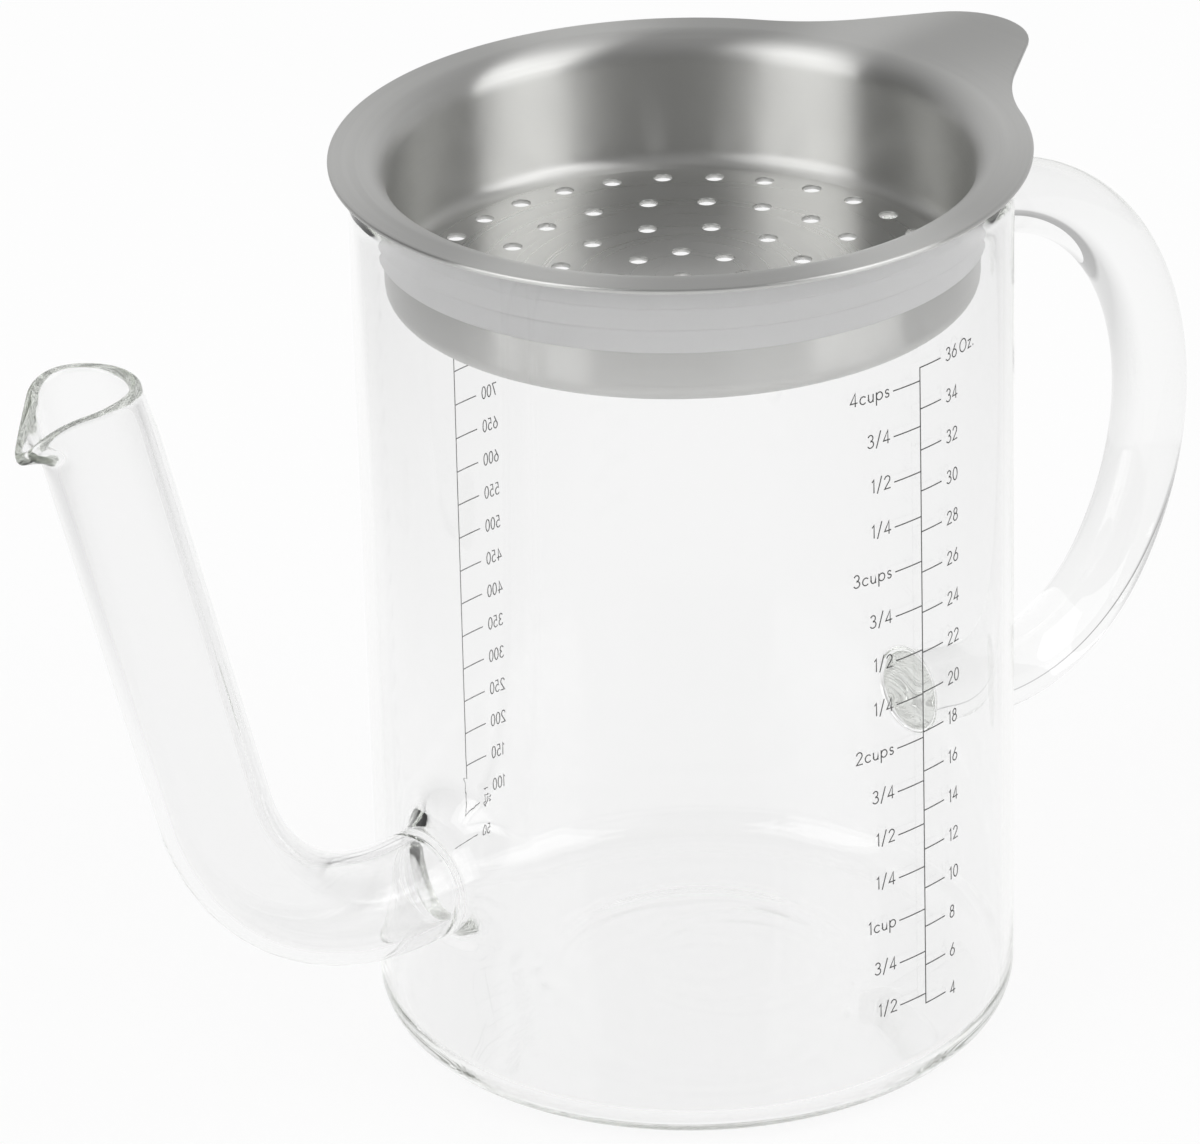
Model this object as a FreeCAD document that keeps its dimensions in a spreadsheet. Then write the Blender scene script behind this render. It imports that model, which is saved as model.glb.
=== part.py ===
"""Glass gravy fat separator: a jug with a low pouring spout and a lift-out steel strainer.

The frame has +Z up and its origin at the centre of the jug's base. The spout leaves the jug
towards -X, and the handle and the strainer's thumb tab lie towards +X. Sizes are in
millimetres and degrees.
"""

import FreeCAD, Part
import Sketcher

import math
import os

SIZES = {
    # Jug: blown borosilicate glass, with a fire-polished rim and a shallow punt.
    "JugOuterRadius": 52.5,
    "JugWall": 1.8,
    "JugHeight": 149.7,
    "BaseThickness": 2.5,
    "BaseOuterCorner": 7.0,
    "BaseInnerCorner": 5.5,
    "PuntRadius": 38.0,
    "PuntDepth": 1.2,
    # Spout: a bent glass tube, welded end to end onto a neck pulled out of the jug's wall.
    "SpoutOuterRadius": 9.0,
    "SpoutWall": 2.0,
    "SpoutHeight": 43.0,
    "NeckReach": 8.0,
    "NeckOuterBlend": 7.5,
    "NeckInnerBlend": 9.0,
    "SpoutArm": 11.0,
    "SpoutBendRadius": 40.0,
    "SpoutLean": 15.0,
    # Spout mouth: the tube widens to a drop-shaped mouth with a drooping pouring lip.
    "MouthRise": 1.1,
    "TubeEndDepth": 13.0,
    "LipRootDepth": 9.9,
    "LipTipDepth": 7.8,
    "LipThickness": 1.4,
    "LipReach": 15.1,
    "LipNoseRadius": 2.2,
    "LipInnerNoseRadius": 0.8,
    "LipBrinkRadius": 21.0,
    "LipBrinkStart": 1.3,
    # Handle: a solid glass rod bent to a loop and welded to the wall at both ends.
    "HandleRodRadius": 6.45,
    "HandleTopHeight": 119.6,
    "HandleTopRise": 13.0,
    "HandleFootHeight": 36.3,
    "HandleFootRise": 14.3,
    "HandleUpperBulge": 6.05,
    "HandleLowerBend": 32.4,
    "HandleFlareReach": 3.0,
    "HandleFlareRadius": 7.0,
    # Strainer: one deep-drawn piece of steel sheet with a flat flange and a thumb tab.
    "SheetThickness": 0.8,
    "RimGap": 0.3,
    "FlangeOverhang": 3.0,
    "FlangeEdgeRadius": 0.3,
    "FlangeRollRadius": 4.0,
    "BasketClearance": 3.5,
    "BasketDepth": 22.8,
    "BasketCorner": 3.5,
    "TabTipRadius": 12.1,
    "TabTipOffset": 7.1,
    "TabHalfAngle": 33.5,
    "TabRootRadius": 40.0,
    # Strainer holes: a centre hole and rings spaced evenly from the first to the last.
    "HoleRadius": 1.5,
    "HoleTurn": 2.0,
    "FirstRingRadius": 9.7,
    "LastRingMargin": 3.4,
    # Seal: a silicone ring on the basket's wall that wipes the inside of the jug.
    "SealBasketGap": 0.1,
    "SealGlassGap": 0.15,
    "SealLandHeight": 4.4,
    "SealWaistThickness": 2.3,
    "SealWaistDepth": 8.3,
    "SealSkirtThickness": 0.9,
    "SealSkirtDepth": 12.7,
}

# How many holes each ring of the strainer's floor has, from the centre outwards.
RING_HOLE_COUNTS = (8, 12, 20, 30)

# How far a construction solid runs past the surface that trims it.
OVERRUN = 4.0

# How far round its arc a weld's flare turns before it lies inside the jug's wall, in degrees.
FLARE_SWEEP = 60.0

# How far round its arc the mouth's brink is cut, in degrees: past the tip of the lip.
BRINK_SWEEP = 70.0


class Size:
    """A length or an angle, as a number and as the spreadsheet formula that gives it."""

    def __init__(self, value, formula):
        self.value = float(value)
        self.formula = formula

    def __add__(self, other):
        other = as_size(other)
        return Size(self.value + other.value, f"({self.formula} + {other.formula})")

    def __sub__(self, other):
        other = as_size(other)
        return Size(self.value - other.value, f"({self.formula} - {other.formula})")

    def __mul__(self, other):
        other = as_size(other)
        return Size(self.value * other.value, f"({self.formula} * {other.formula})")

    def __truediv__(self, other):
        other = as_size(other)
        return Size(self.value / other.value, f"({self.formula} / {other.formula})")

    def __neg__(self):
        return Size(-self.value, f"(0 - {self.formula})")


def as_size(number):
    """Return the number as a Size whose formula is the number itself."""
    if isinstance(number, Size):
        return number
    return Size(number, f"{float(number):g}")


def size(alias):
    """Return the driving dimension of that name."""
    return Size(SIZES[alias], f"Sizes.{alias}")


def sine(angle):
    """Return the sine of an angle in degrees."""
    return Size(math.sin(math.radians(angle.value)), f"sin({angle.formula})")


def cosine(angle):
    """Return the cosine of an angle in degrees."""
    return Size(math.cos(math.radians(angle.value)), f"cos({angle.formula})")


def root(area):
    """Return the square root of an area."""
    return Size(math.sqrt(area.value), f"sqrt({area.formula})")


def vector(point):
    """Return a sketch point as a vector."""
    return FreeCAD.Vector(as_size(point[0]).value, as_size(point[1]).value, 0)


def origin_plane(body, role):
    """Return one of the body's own origin planes."""
    return next(item for item in body.Origin.OriginFeatures if item.Role == role)


class Sketch:
    """A sketch on one of its body's origin planes, held by formulas of the driving sizes."""

    def __init__(self, body, name, role, offset=(0, 0, 0), turn=0, turn_axis=(0, 0, 1)):
        """Attach the sketch; offset and turn are in the plane's own directions."""
        self.item = body.newObject("Sketcher::SketchObject", name)
        self.item.AttachmentSupport = [(origin_plane(body, role), "")]
        self.item.MapMode = "FlatFace"
        distances = [as_size(part) for part in offset]
        angle = as_size(turn)
        self.item.AttachmentOffset = FreeCAD.Placement(
            FreeCAD.Vector(*[part.value for part in distances]),
            FreeCAD.Rotation(FreeCAD.Vector(*turn_axis), angle.value),
        )
        for letter, part in zip("xyz", distances):
            self.item.setExpression(f".AttachmentOffset.Base.{letter}", part.formula)
        if angle.value:
            self.item.setExpression(".AttachmentOffset.Rotation.Angle", angle.formula)

    def constrain(self, kind, *where, to=None):
        """Add a constraint, and bind its value to a formula where it has one."""
        if to is None:
            return self.item.addConstraint(Sketcher.Constraint(kind, *where))
        value = math.radians(to.value) if kind == "Angle" else to.value
        index = self.item.addConstraint(Sketcher.Constraint(kind, *where, value))
        self.item.setExpression(f"Constraints[{index}]", to.formula)
        return index

    def place(self, edge, end, point):
        """Hold one end of an edge, or its centre (end 3), at a point of the sketch."""
        self.constrain("DistanceX", -1, 1, edge, end, to=as_size(point[0]))
        self.constrain("DistanceY", -1, 1, edge, end, to=as_size(point[1]))

    def line(self, start, end):
        """Draw a straight edge and return its index."""
        return self.item.addGeometry(Part.LineSegment(vector(start), vector(end)), False)

    def arc(self, start, end, centre, clockwise=False):
        """Draw a round edge from start to end about centre and return its index."""
        if clockwise:
            start, end = end, start
        middle = vector(centre)
        radius = (vector(start) - middle).Length
        angles = [
            math.atan2((vector(point) - middle).y, (vector(point) - middle).x)
            for point in (start, end)
        ]
        circle = Part.Circle(middle, FreeCAD.Vector(0, 0, 1), radius)
        return self.item.addGeometry(Part.ArcOfCircle(circle, *angles), False)

    def circle(self, centre, radius):
        """Draw a full circle, held by its centre and radius."""
        shape = Part.Circle(vector(centre), FreeCAD.Vector(0, 0, 1), radius.value)
        edge = self.item.addGeometry(shape, False)
        self.place(edge, 3, centre)
        self.constrain("Radius", edge, to=radius)
        return edge

    def ellipse(self, centre, half_width, half_depth):
        """Draw an ellipse whose longer half width lies along the sketch's H axis."""
        middle = vector(centre)
        right = middle + FreeCAD.Vector(half_width.value, 0, 0)
        above = middle + FreeCAD.Vector(0, half_depth.value, 0)
        edge = self.item.addGeometry(Part.Ellipse(right, above, middle), False)
        self.item.exposeInternalGeometry(edge)
        width, depth = (edge + 1, edge + 2)
        self.place(edge, 3, centre)
        self.constrain("Horizontal", width)
        self.constrain("Distance", width, to=half_width * 2)
        self.constrain("Distance", depth, to=half_depth * 2)
        return edge

    def hold_arc(self, index, start, end, centre):
        """Fix an arc between held ends by its centre's distance from the chord."""
        chord = vector(end) - vector(start)
        if abs(chord.x) > abs(chord.y):
            self.constrain("DistanceY", -1, 1, index, 3, to=as_size(centre[1]))
        else:
            self.constrain("DistanceX", -1, 1, index, 3, to=as_size(centre[0]))

    def outline(self, start, *edges, closed=True):
        """Draw a chain of edges, each one (end,) or, for an arc, (end, centre, clockwise)."""
        here = start
        drawn = []
        for edge in edges:
            end = edge[0]
            if len(edge) == 1:
                index = self.line(here, end)
                ends = (1, 2)
            else:
                centre, clockwise = edge[1:]
                index = self.arc(here, end, centre, clockwise)
                self.hold_arc(index, here, end, centre)
                ends = (2, 1) if clockwise else (1, 2)
            if drawn:
                self.constrain("Coincident", drawn[-1][0], drawn[-1][1], index, ends[0])
            else:
                self.place(index, ends[0], start)
            if not (closed and edge is edges[-1]):
                self.place(index, ends[1], end)
            drawn.append((index, ends[1], ends[0]))
            here = end
        if closed:
            self.constrain("Coincident", drawn[-1][0], drawn[-1][1], drawn[0][0], drawn[0][2])
        return drawn


def make_body(doc, label):
    """Start a body whose label names the piece."""
    body = doc.addObject("PartDesign::Body", label)
    body.Label = label
    return body


def revolve(body, name, sketch, axis="V_Axis", cut=False):
    """Turn a sketch a full turn about one of its own axes, to add or to cut."""
    kind = "PartDesign::Groove" if cut else "PartDesign::Revolution"
    feature = body.newObject(kind, name)
    feature.Profile = sketch.item
    feature.ReferenceAxis = (sketch.item, [axis])
    feature.Angle = 360.0
    return feature


def sweep(body, name, section, route, cut=False):
    """Carry a section along a route, to add or to cut."""
    kind = "PartDesign::SubtractivePipe" if cut else "PartDesign::AdditivePipe"
    feature = body.newObject(kind, name)
    feature.Profile = section.item
    feature.Spine = route.item
    return feature


def loft(body, name, sections, cut=False):
    """Join a row of sections by straight walls, to add or to cut."""
    kind = "PartDesign::SubtractiveLoft" if cut else "PartDesign::AdditiveLoft"
    feature = body.newObject(kind, name)
    feature.Profile = sections[0].item
    feature.Sections = [section.item for section in sections[1:]]
    feature.Ruled = True
    return feature


def pad(body, name, sketch, height):
    """Raise a sketch along its normal."""
    feature = body.newObject("PartDesign::Pad", name)
    feature.Profile = sketch.item
    feature.Length = height.value
    feature.setExpression("Length", height.formula)
    return feature


def pocket(body, name, sketch, depth, both_ways=False, upwards=False):
    """Cut a sketch to a depth, against its normal, along it or half each way."""
    feature = body.newObject("PartDesign::Pocket", name)
    feature.Profile = sketch.item
    feature.Length = depth.value
    feature.setExpression("Length", depth.formula)
    feature.Midplane = both_ways
    feature.Reversed = upwards
    return feature


def fillet(body, name, base, edges, radius):
    """Round the named edges of the feature that comes before."""
    feature = body.newObject("PartDesign::Fillet", name)
    feature.Base = (base, edges)
    feature.Radius = radius.value
    feature.setExpression("Radius", radius.formula)
    return feature


def edges_inside(shape, low, high):
    """Return the names of the edges that lie in a box, given by its two corners."""
    region = FreeCAD.BoundBox(*[as_size(part).value for part in (*low, *high)])
    names = []
    for number, edge in enumerate(shape.Edges, 1):
        if not edge.Degenerated and all(region.isInside(point) for point in spread(edge)):
            names.append(f"Edge{number}")
    return names


def spread(edge):
    """Return points spread evenly along an edge."""
    return edge.discretize(Number=9)


def build_jug_body(doc):
    """Blown jug with a punt, a fire-polished rim and a neck pulled out for the spout."""
    body = make_body(doc, "jug_body")
    radius = size("JugOuterRadius")
    wall = size("JugWall")
    top = size("JugHeight")
    inside = radius - wall
    rim = (radius - wall / 2, top - wall / 2)
    floor = size("BaseThickness")
    corner = size("BaseOuterCorner")
    inner_corner = size("BaseInnerCorner")
    punt = size("PuntRadius")
    rise = size("PuntDepth")
    dome = (punt * punt + rise * rise) / (rise * 2)

    blank = Sketch(body, "jug_outside", "XZ_Plane")
    blank.outline(
        (0, rise),
        ((punt, 0), (0, rise - dome), True),
        ((radius - corner, 0),),
        ((radius, corner), (radius - corner, corner), False),
        ((radius, rim[1]),),
        ((rim[0], top), rim, False),
        ((0, top),),
        ((0, rise),),
    )
    revolve(body, "jug_blank", blank)
    pull_neck(body, doc)

    cavity = Sketch(body, "jug_inside", "XZ_Plane")
    cavity.outline(
        (0, floor + rise),
        ((punt, floor), (0, floor + rise - dome), True),
        ((inside - inner_corner, floor),),
        ((inside, floor + inner_corner), (inside - inner_corner, floor + inner_corner), False),
        ((inside, rim[1]),),
        ((rim[0], top), rim, True),
        ((rim[0], top + OVERRUN),),
        ((0, top + OVERRUN),),
        ((0, floor + rise),),
    )
    revolve(body, "jug_cavity", cavity, cut=True)
    bore_neck(body, doc, inside)
    return body


def pull_neck(body, doc):
    """Pull a neck out of the wall towards -X and blend it into the wall."""
    radius = size("JugOuterRadius")
    reach = size("NeckReach")
    tube = size("SpoutOuterRadius")
    height = size("SpoutHeight")
    outline = Sketch(body, "neck_outline", "YZ_Plane", (0, 0, -radius - reach))
    outline.circle((0, height), tube)
    neck = pad(body, "neck", outline, reach + tube)
    doc.recompute()
    recess = radius - root(radius * radius - tube * tube)
    seam = edges_inside(
        neck.Shape,
        (-radius - 0.1, -tube - 0.1, height - tube - 0.1),
        (-radius + recess + 0.1, tube + 0.1, height + tube + 0.1),
    )
    fillet(body, "neck_blend", neck, seam, size("NeckOuterBlend"))


def bore_neck(body, doc, inside):
    """Bore the neck through into the jug and flare the bore into the inner wall."""
    reach = size("NeckReach")
    bore = size("SpoutOuterRadius") - size("SpoutWall")
    height = size("SpoutHeight")
    outer = size("JugOuterRadius") + reach
    outline = Sketch(body, "neck_bore_outline", "YZ_Plane", (0, 0, -outer))
    outline.circle((0, height), bore)
    hole = pocket(body, "neck_bore", outline, outer - inside + bore, upwards=True)
    doc.recompute()
    recess = inside - root(inside * inside - bore * bore)
    mouth = edges_inside(
        hole.Shape,
        (-inside - 0.1, -bore - 0.1, height - bore - 0.1),
        (-inside + recess + 0.1, bore + 0.1, height + bore + 0.1),
    )
    fillet(body, "neck_bore_flare", hole, mouth, size("NeckInnerBlend"))


def drop_outline(sketch, centre, radius, nose_centre, nose_radius):
    """Draw a drop: a round back and two straight flanks that meet in a small nose to -X."""
    along = (radius - nose_radius) / (centre - nose_centre)
    across = root(as_size(1) - along * along)
    back = (centre, as_size(0))
    nose = (nose_centre, as_size(0))

    def touch(middle, length, side):
        return (middle[0] - along * length, across * length * side)

    sketch.outline(
        touch(back, radius, -1),
        (touch(back, radius, 1), back, False),
        (touch(nose, nose_radius, 1),),
        (touch(nose, nose_radius, -1), nose, False),
        (touch(back, radius, -1),),
    )


def build_pouring_spout(doc):
    """Bent tube that leaves the jug's neck and ends in a drop-shaped mouth with a lip."""
    body = make_body(doc, "pouring_spout")
    tube = size("SpoutOuterRadius")
    bore = tube - size("SpoutWall")
    wall_radius = size("JugOuterRadius")
    height = size("SpoutHeight")
    bend = size("SpoutBendRadius")
    lean = size("SpoutLean")
    top = size("JugHeight") + size("MouthRise")
    slope = sine(lean) / cosine(lean)

    weld = (-wall_radius - size("NeckReach"), height)
    turn_in = (-wall_radius - size("SpoutArm"), height)
    turn_centre = (turn_in[0], height + bend)
    turn_out = (turn_centre[0] - bend * cosine(lean), turn_centre[1] - bend * sine(lean))

    def riser_point(depth):
        level = top - depth
        return (turn_out[0] - (level - turn_out[1]) * slope, level)

    tube_end = riser_point(size("TubeEndDepth"))
    mouth_centre = riser_point(size("LipTipDepth"))[0]
    nose_centre = mouth_centre - size("LipReach") + size("LipNoseRadius")

    route = Sketch(body, "spout_route", "XZ_Plane")
    route.outline(weld, (turn_in,), (turn_out, turn_centre, True), (tube_end,), closed=False)

    def lip_sections(name, radius, nose_radius, rise):
        end = Sketch(
            body, f"{name}_end", "XY_Plane", (tube_end[0], 0, tube_end[1]), -lean, (0, 1, 0)
        )
        end.circle((0, 0), radius)
        start = riser_point(size("LipRootDepth") - rise)
        level_cut = Sketch(body, f"{name}_root", "XY_Plane", (0, 0, start[1]))
        level_cut.ellipse((start[0], 0), radius / cosine(lean), radius)
        sections = [end, level_cut]
        for part, depth in (("tip", size("LipTipDepth") - rise), ("top", as_size(-1))):
            middle = riser_point(depth)
            drop = Sketch(body, f"{name}_{part}", "XY_Plane", (0, 0, middle[1]))
            drop_outline(drop, middle[0], radius, nose_centre, nose_radius)
            sections.append(drop)
        return sections

    for name, radius, nose, rise, cut in (
        ("tube", tube, size("LipNoseRadius"), as_size(0), False),
        ("bore", bore, size("LipInnerNoseRadius"), size("LipThickness"), True),
    ):
        section = Sketch(body, f"{name}_section", "YZ_Plane", (0, 0, weld[0]))
        section.circle((0, height), radius)
        sweep(body, name, section, route, cut)
        sections = lip_sections(f"{name}_lip", radius, nose, rise)
        loft(body, f"{name}_mouth", sections, cut)

    cut_mouth_line(body, mouth_centre + size("LipBrinkStart"), top, tube)
    return body


def cut_mouth_line(body, brink, top, tube):
    """Trim the mouth level behind the brink and down a drooping arc to the lip's tip."""
    brink_radius = size("LipBrinkRadius")
    sweep_angle = as_size(BRINK_SWEEP)
    lowest = (
        brink - brink_radius * sine(sweep_angle),
        top - brink_radius + brink_radius * cosine(sweep_angle),
    )
    behind = brink + tube * 3
    cutter = Sketch(body, "mouth_line", "XZ_Plane")
    cutter.outline(
        (behind, top),
        ((behind, top + tube),),
        ((lowest[0], top + tube),),
        (lowest,),
        ((brink, top), (brink, top - brink_radius), True),
        ((behind, top),),
    )
    pocket(body, "mouth_cut", cutter, tube * 4, both_ways=True)


def trim_to_wall(body, low, high):
    """Cut away what lies inside the jug's outer surface between two heights."""
    radius = size("JugOuterRadius")
    sleeve = Sketch(body, "jug_surface", "XZ_Plane")
    sleeve.outline((0, low), ((radius, low),), ((radius, high),), ((0, high),), ((0, low),))
    revolve(body, "jug_surface_cut", sleeve, cut=True)


def build_handle(doc):
    """Solid rod bent to a loop of two arcs, with a flared weld at each end."""
    body = make_body(doc, "handle")
    wall_radius = size("JugOuterRadius")
    rod = size("HandleRodRadius")
    top = (wall_radius, size("HandleTopHeight"))
    top_rise = size("HandleTopRise")
    foot = (wall_radius, size("HandleFootHeight"))
    foot_rise = size("HandleFootRise")
    upper = upper_bend()
    lower = size("HandleLowerBend")

    route = Sketch(body, "handle_route", "XZ_Plane")
    start = (top[0] - cosine(top_rise) * OVERRUN, top[1] - sine(top_rise) * OVERRUN)
    end = (foot[0] - cosine(foot_rise) * OVERRUN, foot[1] + sine(foot_rise) * OVERRUN)
    bends = loop_points(top, top_rise, foot, foot_rise, upper, lower)
    upper_centre, meeting, lower_centre, run_out = bends
    stub = route.line(start, top)
    upper_arc = route.arc(top, meeting, upper_centre, clockwise=True)
    lower_arc = route.arc(meeting, run_out, lower_centre, clockwise=True)
    tail = route.line(run_out, end)
    route.place(stub, 1, start)
    route.place(stub, 2, top)
    route.place(tail, 2, end)
    route.constrain("Angle", tail, to=as_size(180) - foot_rise)
    route.constrain("Tangent", stub, 2, upper_arc, 2)
    route.constrain("Tangent", upper_arc, 1, lower_arc, 2)
    route.constrain("Tangent", lower_arc, 1, tail, 1)
    route.constrain("Radius", upper_arc, to=upper)
    route.constrain("Radius", lower_arc, to=lower)

    across = -top_rise
    section = Sketch(body, "rod_section", "YZ_Plane", (0, start[1], start[0]), across, (1, 0, 0))
    section.circle((0, 0), rod)
    sweep(body, "rod", section, route)

    for name, point, tilt in (
        ("top_weld", top, top_rise),
        ("foot_weld", foot, -foot_rise),
    ):
        flare = Sketch(body, f"{name}_flare", "XZ_Plane", (point[0], point[1], 0), tilt)
        draw_flare(flare, rod)
        revolve(body, name, flare, "H_Axis")
    trim_to_wall(body, foot[1] - rod * 3, top[1] + rod * 3)
    return body


def draw_flare(sketch, rod):
    """Draw half the ring that a weld spreads round the rod, whose axis is the H axis."""
    reach = size("HandleFlareReach")
    flare = size("HandleFlareRadius")
    sweep_angle = as_size(FLARE_SWEEP)
    foot = reach - flare * sine(sweep_angle)
    edge = rod + flare - flare * cosine(sweep_angle)
    sketch.outline(
        (reach, rod / 2),
        ((reach, rod),),
        ((foot, edge), (reach, rod + flare), True),
        ((foot - OVERRUN, edge),),
        ((foot - OVERRUN, rod / 2),),
        ((reach, rod / 2),),
    )


def upper_bend():
    """Return the radius of the upper bend: half the height between the welds and its bulge."""
    between = size("HandleTopHeight") - size("HandleFootHeight")
    return between / 2 + size("HandleUpperBulge")


def loop_points(top, top_rise, foot, foot_rise, upper, lower):
    """Return where the loop's two arcs are centred, meet and end, to draw it solved."""
    first = vector(top)
    rise = math.radians(top_rise.value)
    upper_centre = first + FreeCAD.Vector(math.sin(rise), -math.cos(rise), 0) * upper.value
    tilt = math.radians(foot_rise.value)
    inward = FreeCAD.Vector(-math.cos(tilt), math.sin(tilt), 0)
    above = FreeCAD.Vector(math.sin(tilt), math.cos(tilt), 0)
    offset_foot = vector(foot) + above * lower.value
    spread = offset_foot - upper_centre
    along = spread.dot(inward)
    gap = upper.value - lower.value
    run = along + math.sqrt(along * along - spread.dot(spread) + gap * gap)
    lower_centre = offset_foot - inward * run
    meeting = upper_centre + (lower_centre - upper_centre).normalize() * upper.value
    run_out = lower_centre - above * lower.value
    return [(point.x, point.y) for point in (upper_centre, meeting, lower_centre, run_out)]


def flange_underside():
    """Return the height of the flange's underside, just above the jug's rim."""
    return size("JugHeight") + size("RimGap")


def flange_radius():
    """Return the radius of the flange's edge, which overhangs the jug's wall."""
    return size("JugOuterRadius") + size("FlangeOverhang")


def basket_radius():
    """Return the outer radius of the basket's wall, which leaves room for the seal."""
    return size("JugOuterRadius") - size("JugWall") - size("BasketClearance")


def build_strainer_basket(doc):
    """Deep-drawn strainer: a flat flange with a thumb tab, a rolled wall and a holed floor."""
    body = make_body(doc, "strainer_basket")
    sheet = size("SheetThickness")
    wall = basket_radius()
    roll = size("FlangeRollRadius")
    corner = size("BasketCorner")
    seat = flange_underside()
    face = seat + sheet
    floor = face - size("BasketDepth")
    roll_centre = (wall + roll, seat - roll)
    corner_centre = (wall - corner, floor + corner)

    draw_flange_plate(body, seat)
    opening = Sketch(body, "bowl_opening", "XY_Plane", (0, 0, face))
    opening.circle((0, 0), wall + roll)
    pocket(body, "bowl_cut", opening, sheet * 2)

    bowl = Sketch(body, "bowl_profile", "XZ_Plane")
    lap = wall + roll + sheet
    bowl.outline(
        (0, floor),
        ((wall - corner, floor),),
        ((wall, floor + corner), corner_centre, False),
        ((wall, roll_centre[1]),),
        ((roll_centre[0], seat), roll_centre, True),
        ((lap, seat),),
        ((lap, face),),
        ((roll_centre[0], face),),
        ((wall - sheet, roll_centre[1]), roll_centre, False),
        ((wall - sheet, floor + corner),),
        ((wall - corner, floor + sheet), corner_centre, True),
        ((0, floor + sheet),),
        ((0, floor),),
    )
    revolve(body, "drawn_bowl", bowl)

    centre_hole = Sketch(body, "centre_hole", "XY_Plane", (0, 0, floor + sheet))
    centre_hole.circle((0, 0), size("HoleRadius"))
    pocket(body, "centre_punch", centre_hole, sheet * 2)
    first = size("FirstRingRadius")
    last = wall - corner - size("LastRingMargin")
    pitch = (last - first) / (len(RING_HOLE_COUNTS) - 1)
    for ring, count in enumerate(RING_HOLE_COUNTS):
        punch_ring(body, f"ring_{ring + 1}", first + pitch * ring, count, floor + sheet)
    return body


def draw_flange_plate(body, seat):
    """Pad the flange and its thumb tab as one flat plate with rounded edges."""
    flange = flange_radius()
    tip = size("TabTipRadius")
    tip_centre = flange + size("TabTipOffset")
    half_angle = size("TabHalfAngle")
    root_radius = size("TabRootRadius")

    # The flank touches the tip's circle, and the root arc touches the flank and the flange.
    outward = (sine(half_angle), cosine(half_angle))
    flank_distance = tip_centre * outward[0] + tip
    inner = flank_distance + root_radius
    outer = flange + root_radius
    slide = root(outer * outer - inner * inner)
    root_x = outward[0] * inner + outward[1] * slide
    root_y = outward[1] * inner - outward[0] * slide
    share = flange / outer

    def mirrored(x, y, side):
        return (x, y * side)

    def tip_touch(side):
        return mirrored(tip_centre + outward[0] * tip, outward[1] * tip, side)

    def flank_end(side):
        x = root_x - outward[0] * root_radius
        return mirrored(x, root_y - outward[1] * root_radius, side)

    def flange_touch(side):
        return mirrored(root_x * share, root_y * share, side)

    plate = Sketch(body, "flange_outline", "XY_Plane", (0, 0, seat))
    plate.outline(
        flange_touch(1),
        (flange_touch(-1), (0, 0), False),
        (flank_end(-1), mirrored(root_x, root_y, -1), True),
        (tip_touch(-1),),
        (tip_touch(1), (tip_centre, 0), False),
        (flank_end(1),),
        (flange_touch(1), (root_x, root_y), True),
    )
    blank = pad(body, "flange_plate", plate, size("SheetThickness"))
    body.Document.recompute()
    fillet(body, "flange_edge", blank, flat_edges(blank.Shape), size("FlangeEdgeRadius"))


def flat_edges(shape):
    """Return the names of a plate's edges that lie in its top or bottom face."""
    names = []
    for number, edge in enumerate(shape.Edges, 1):
        if edge.BoundBox.ZLength < 1e-6:
            names.append(f"Edge{number}")
    return names


def punch_ring(body, name, radius, count, top):
    """Punch one hole in the floor and repeat it round the strainer's axis."""
    turn = size("HoleTurn")
    sketch = Sketch(body, f"{name}_hole", "XY_Plane", (0, 0, top))
    sketch.circle((radius * cosine(turn), radius * sine(turn)), size("HoleRadius"))
    punch = pocket(body, f"{name}_punch", sketch, size("SheetThickness") * 2)
    body.Document.recompute()
    ring = body.newObject("PartDesign::PolarPattern", f"{name}_holes")
    ring.Originals = [punch]
    ring.Axis = (sketch.item, ["N_Axis"])
    ring.Angle = 360.0
    ring.Occurrences = count
    body.Tip = ring


def build_seal_ring(doc):
    """Silicone ring: it fits under the flange's roll and narrows to a soft skirt."""
    body = make_body(doc, "seal_ring")
    gap = size("SealBasketGap")
    roll = size("FlangeRollRadius")
    seat = flange_underside()
    inside = basket_radius() + gap
    land = size("JugOuterRadius") - size("JugWall") - size("SealGlassGap")
    roll_centre = (basket_radius() + roll, seat - roll)
    round_radius = roll - gap
    shift = roll_centre[0] - land
    crest = roll_centre[1] + root(round_radius * round_radius - shift * shift)
    skirt = seat - size("SealSkirtDepth")

    profile = Sketch(body, "seal_profile", "XZ_Plane")
    profile.outline(
        (inside, skirt),
        ((inside + size("SealSkirtThickness"), skirt),),
        ((inside + size("SealWaistThickness"), seat - size("SealWaistDepth")),),
        ((land, seat - size("SealLandHeight")),),
        ((land, crest),),
        ((inside, roll_centre[1]), roll_centre, False),
        ((inside, skirt),),
    )
    revolve(body, "moulded_ring", profile)
    return body


def fill_sheet(doc):
    """Write the driving dimensions into the spreadsheet, one named row each."""
    sheet = doc.addObject("Spreadsheet::Sheet", "Sizes")
    for row, (alias, value) in enumerate(SIZES.items(), 1):
        sheet.set(f"A{row}", alias)
        sheet.set(f"B{row}", str(value))
        sheet.setAlias(f"B{row}", alias)
    doc.recompute()


def check_document(doc, pieces):
    """Stop if a feature failed or a piece isn't one valid solid."""
    for item in doc.Objects:
        if "Invalid" in item.State or "Error" in item.State:
            raise RuntimeError(f"{item.Label} did not build: {item.State}")
    for piece in pieces:
        shape = piece.Shape
        if shape.isNull() or not shape.isValid() or len(shape.Solids) != 1:
            raise RuntimeError(f"{piece.Label} isn't one valid solid")


def check_cuts(pieces):
    """Stop if a groove, pocket or channel took nothing away from its piece."""
    for piece in pieces:
        before = 0.0
        for feature in piece.Group:
            if not feature.isDerivedFrom("PartDesign::Feature"):
                continue
            volume = feature.Shape.Volume
            cutting = feature.TypeId.endswith(("Groove", "Pocket", "Pipe", "Loft"))
            if cutting and "Additive" not in feature.TypeId and volume >= before - 1e-3:
                raise RuntimeError(f"{feature.Label} cuts nothing")
            before = volume


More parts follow.
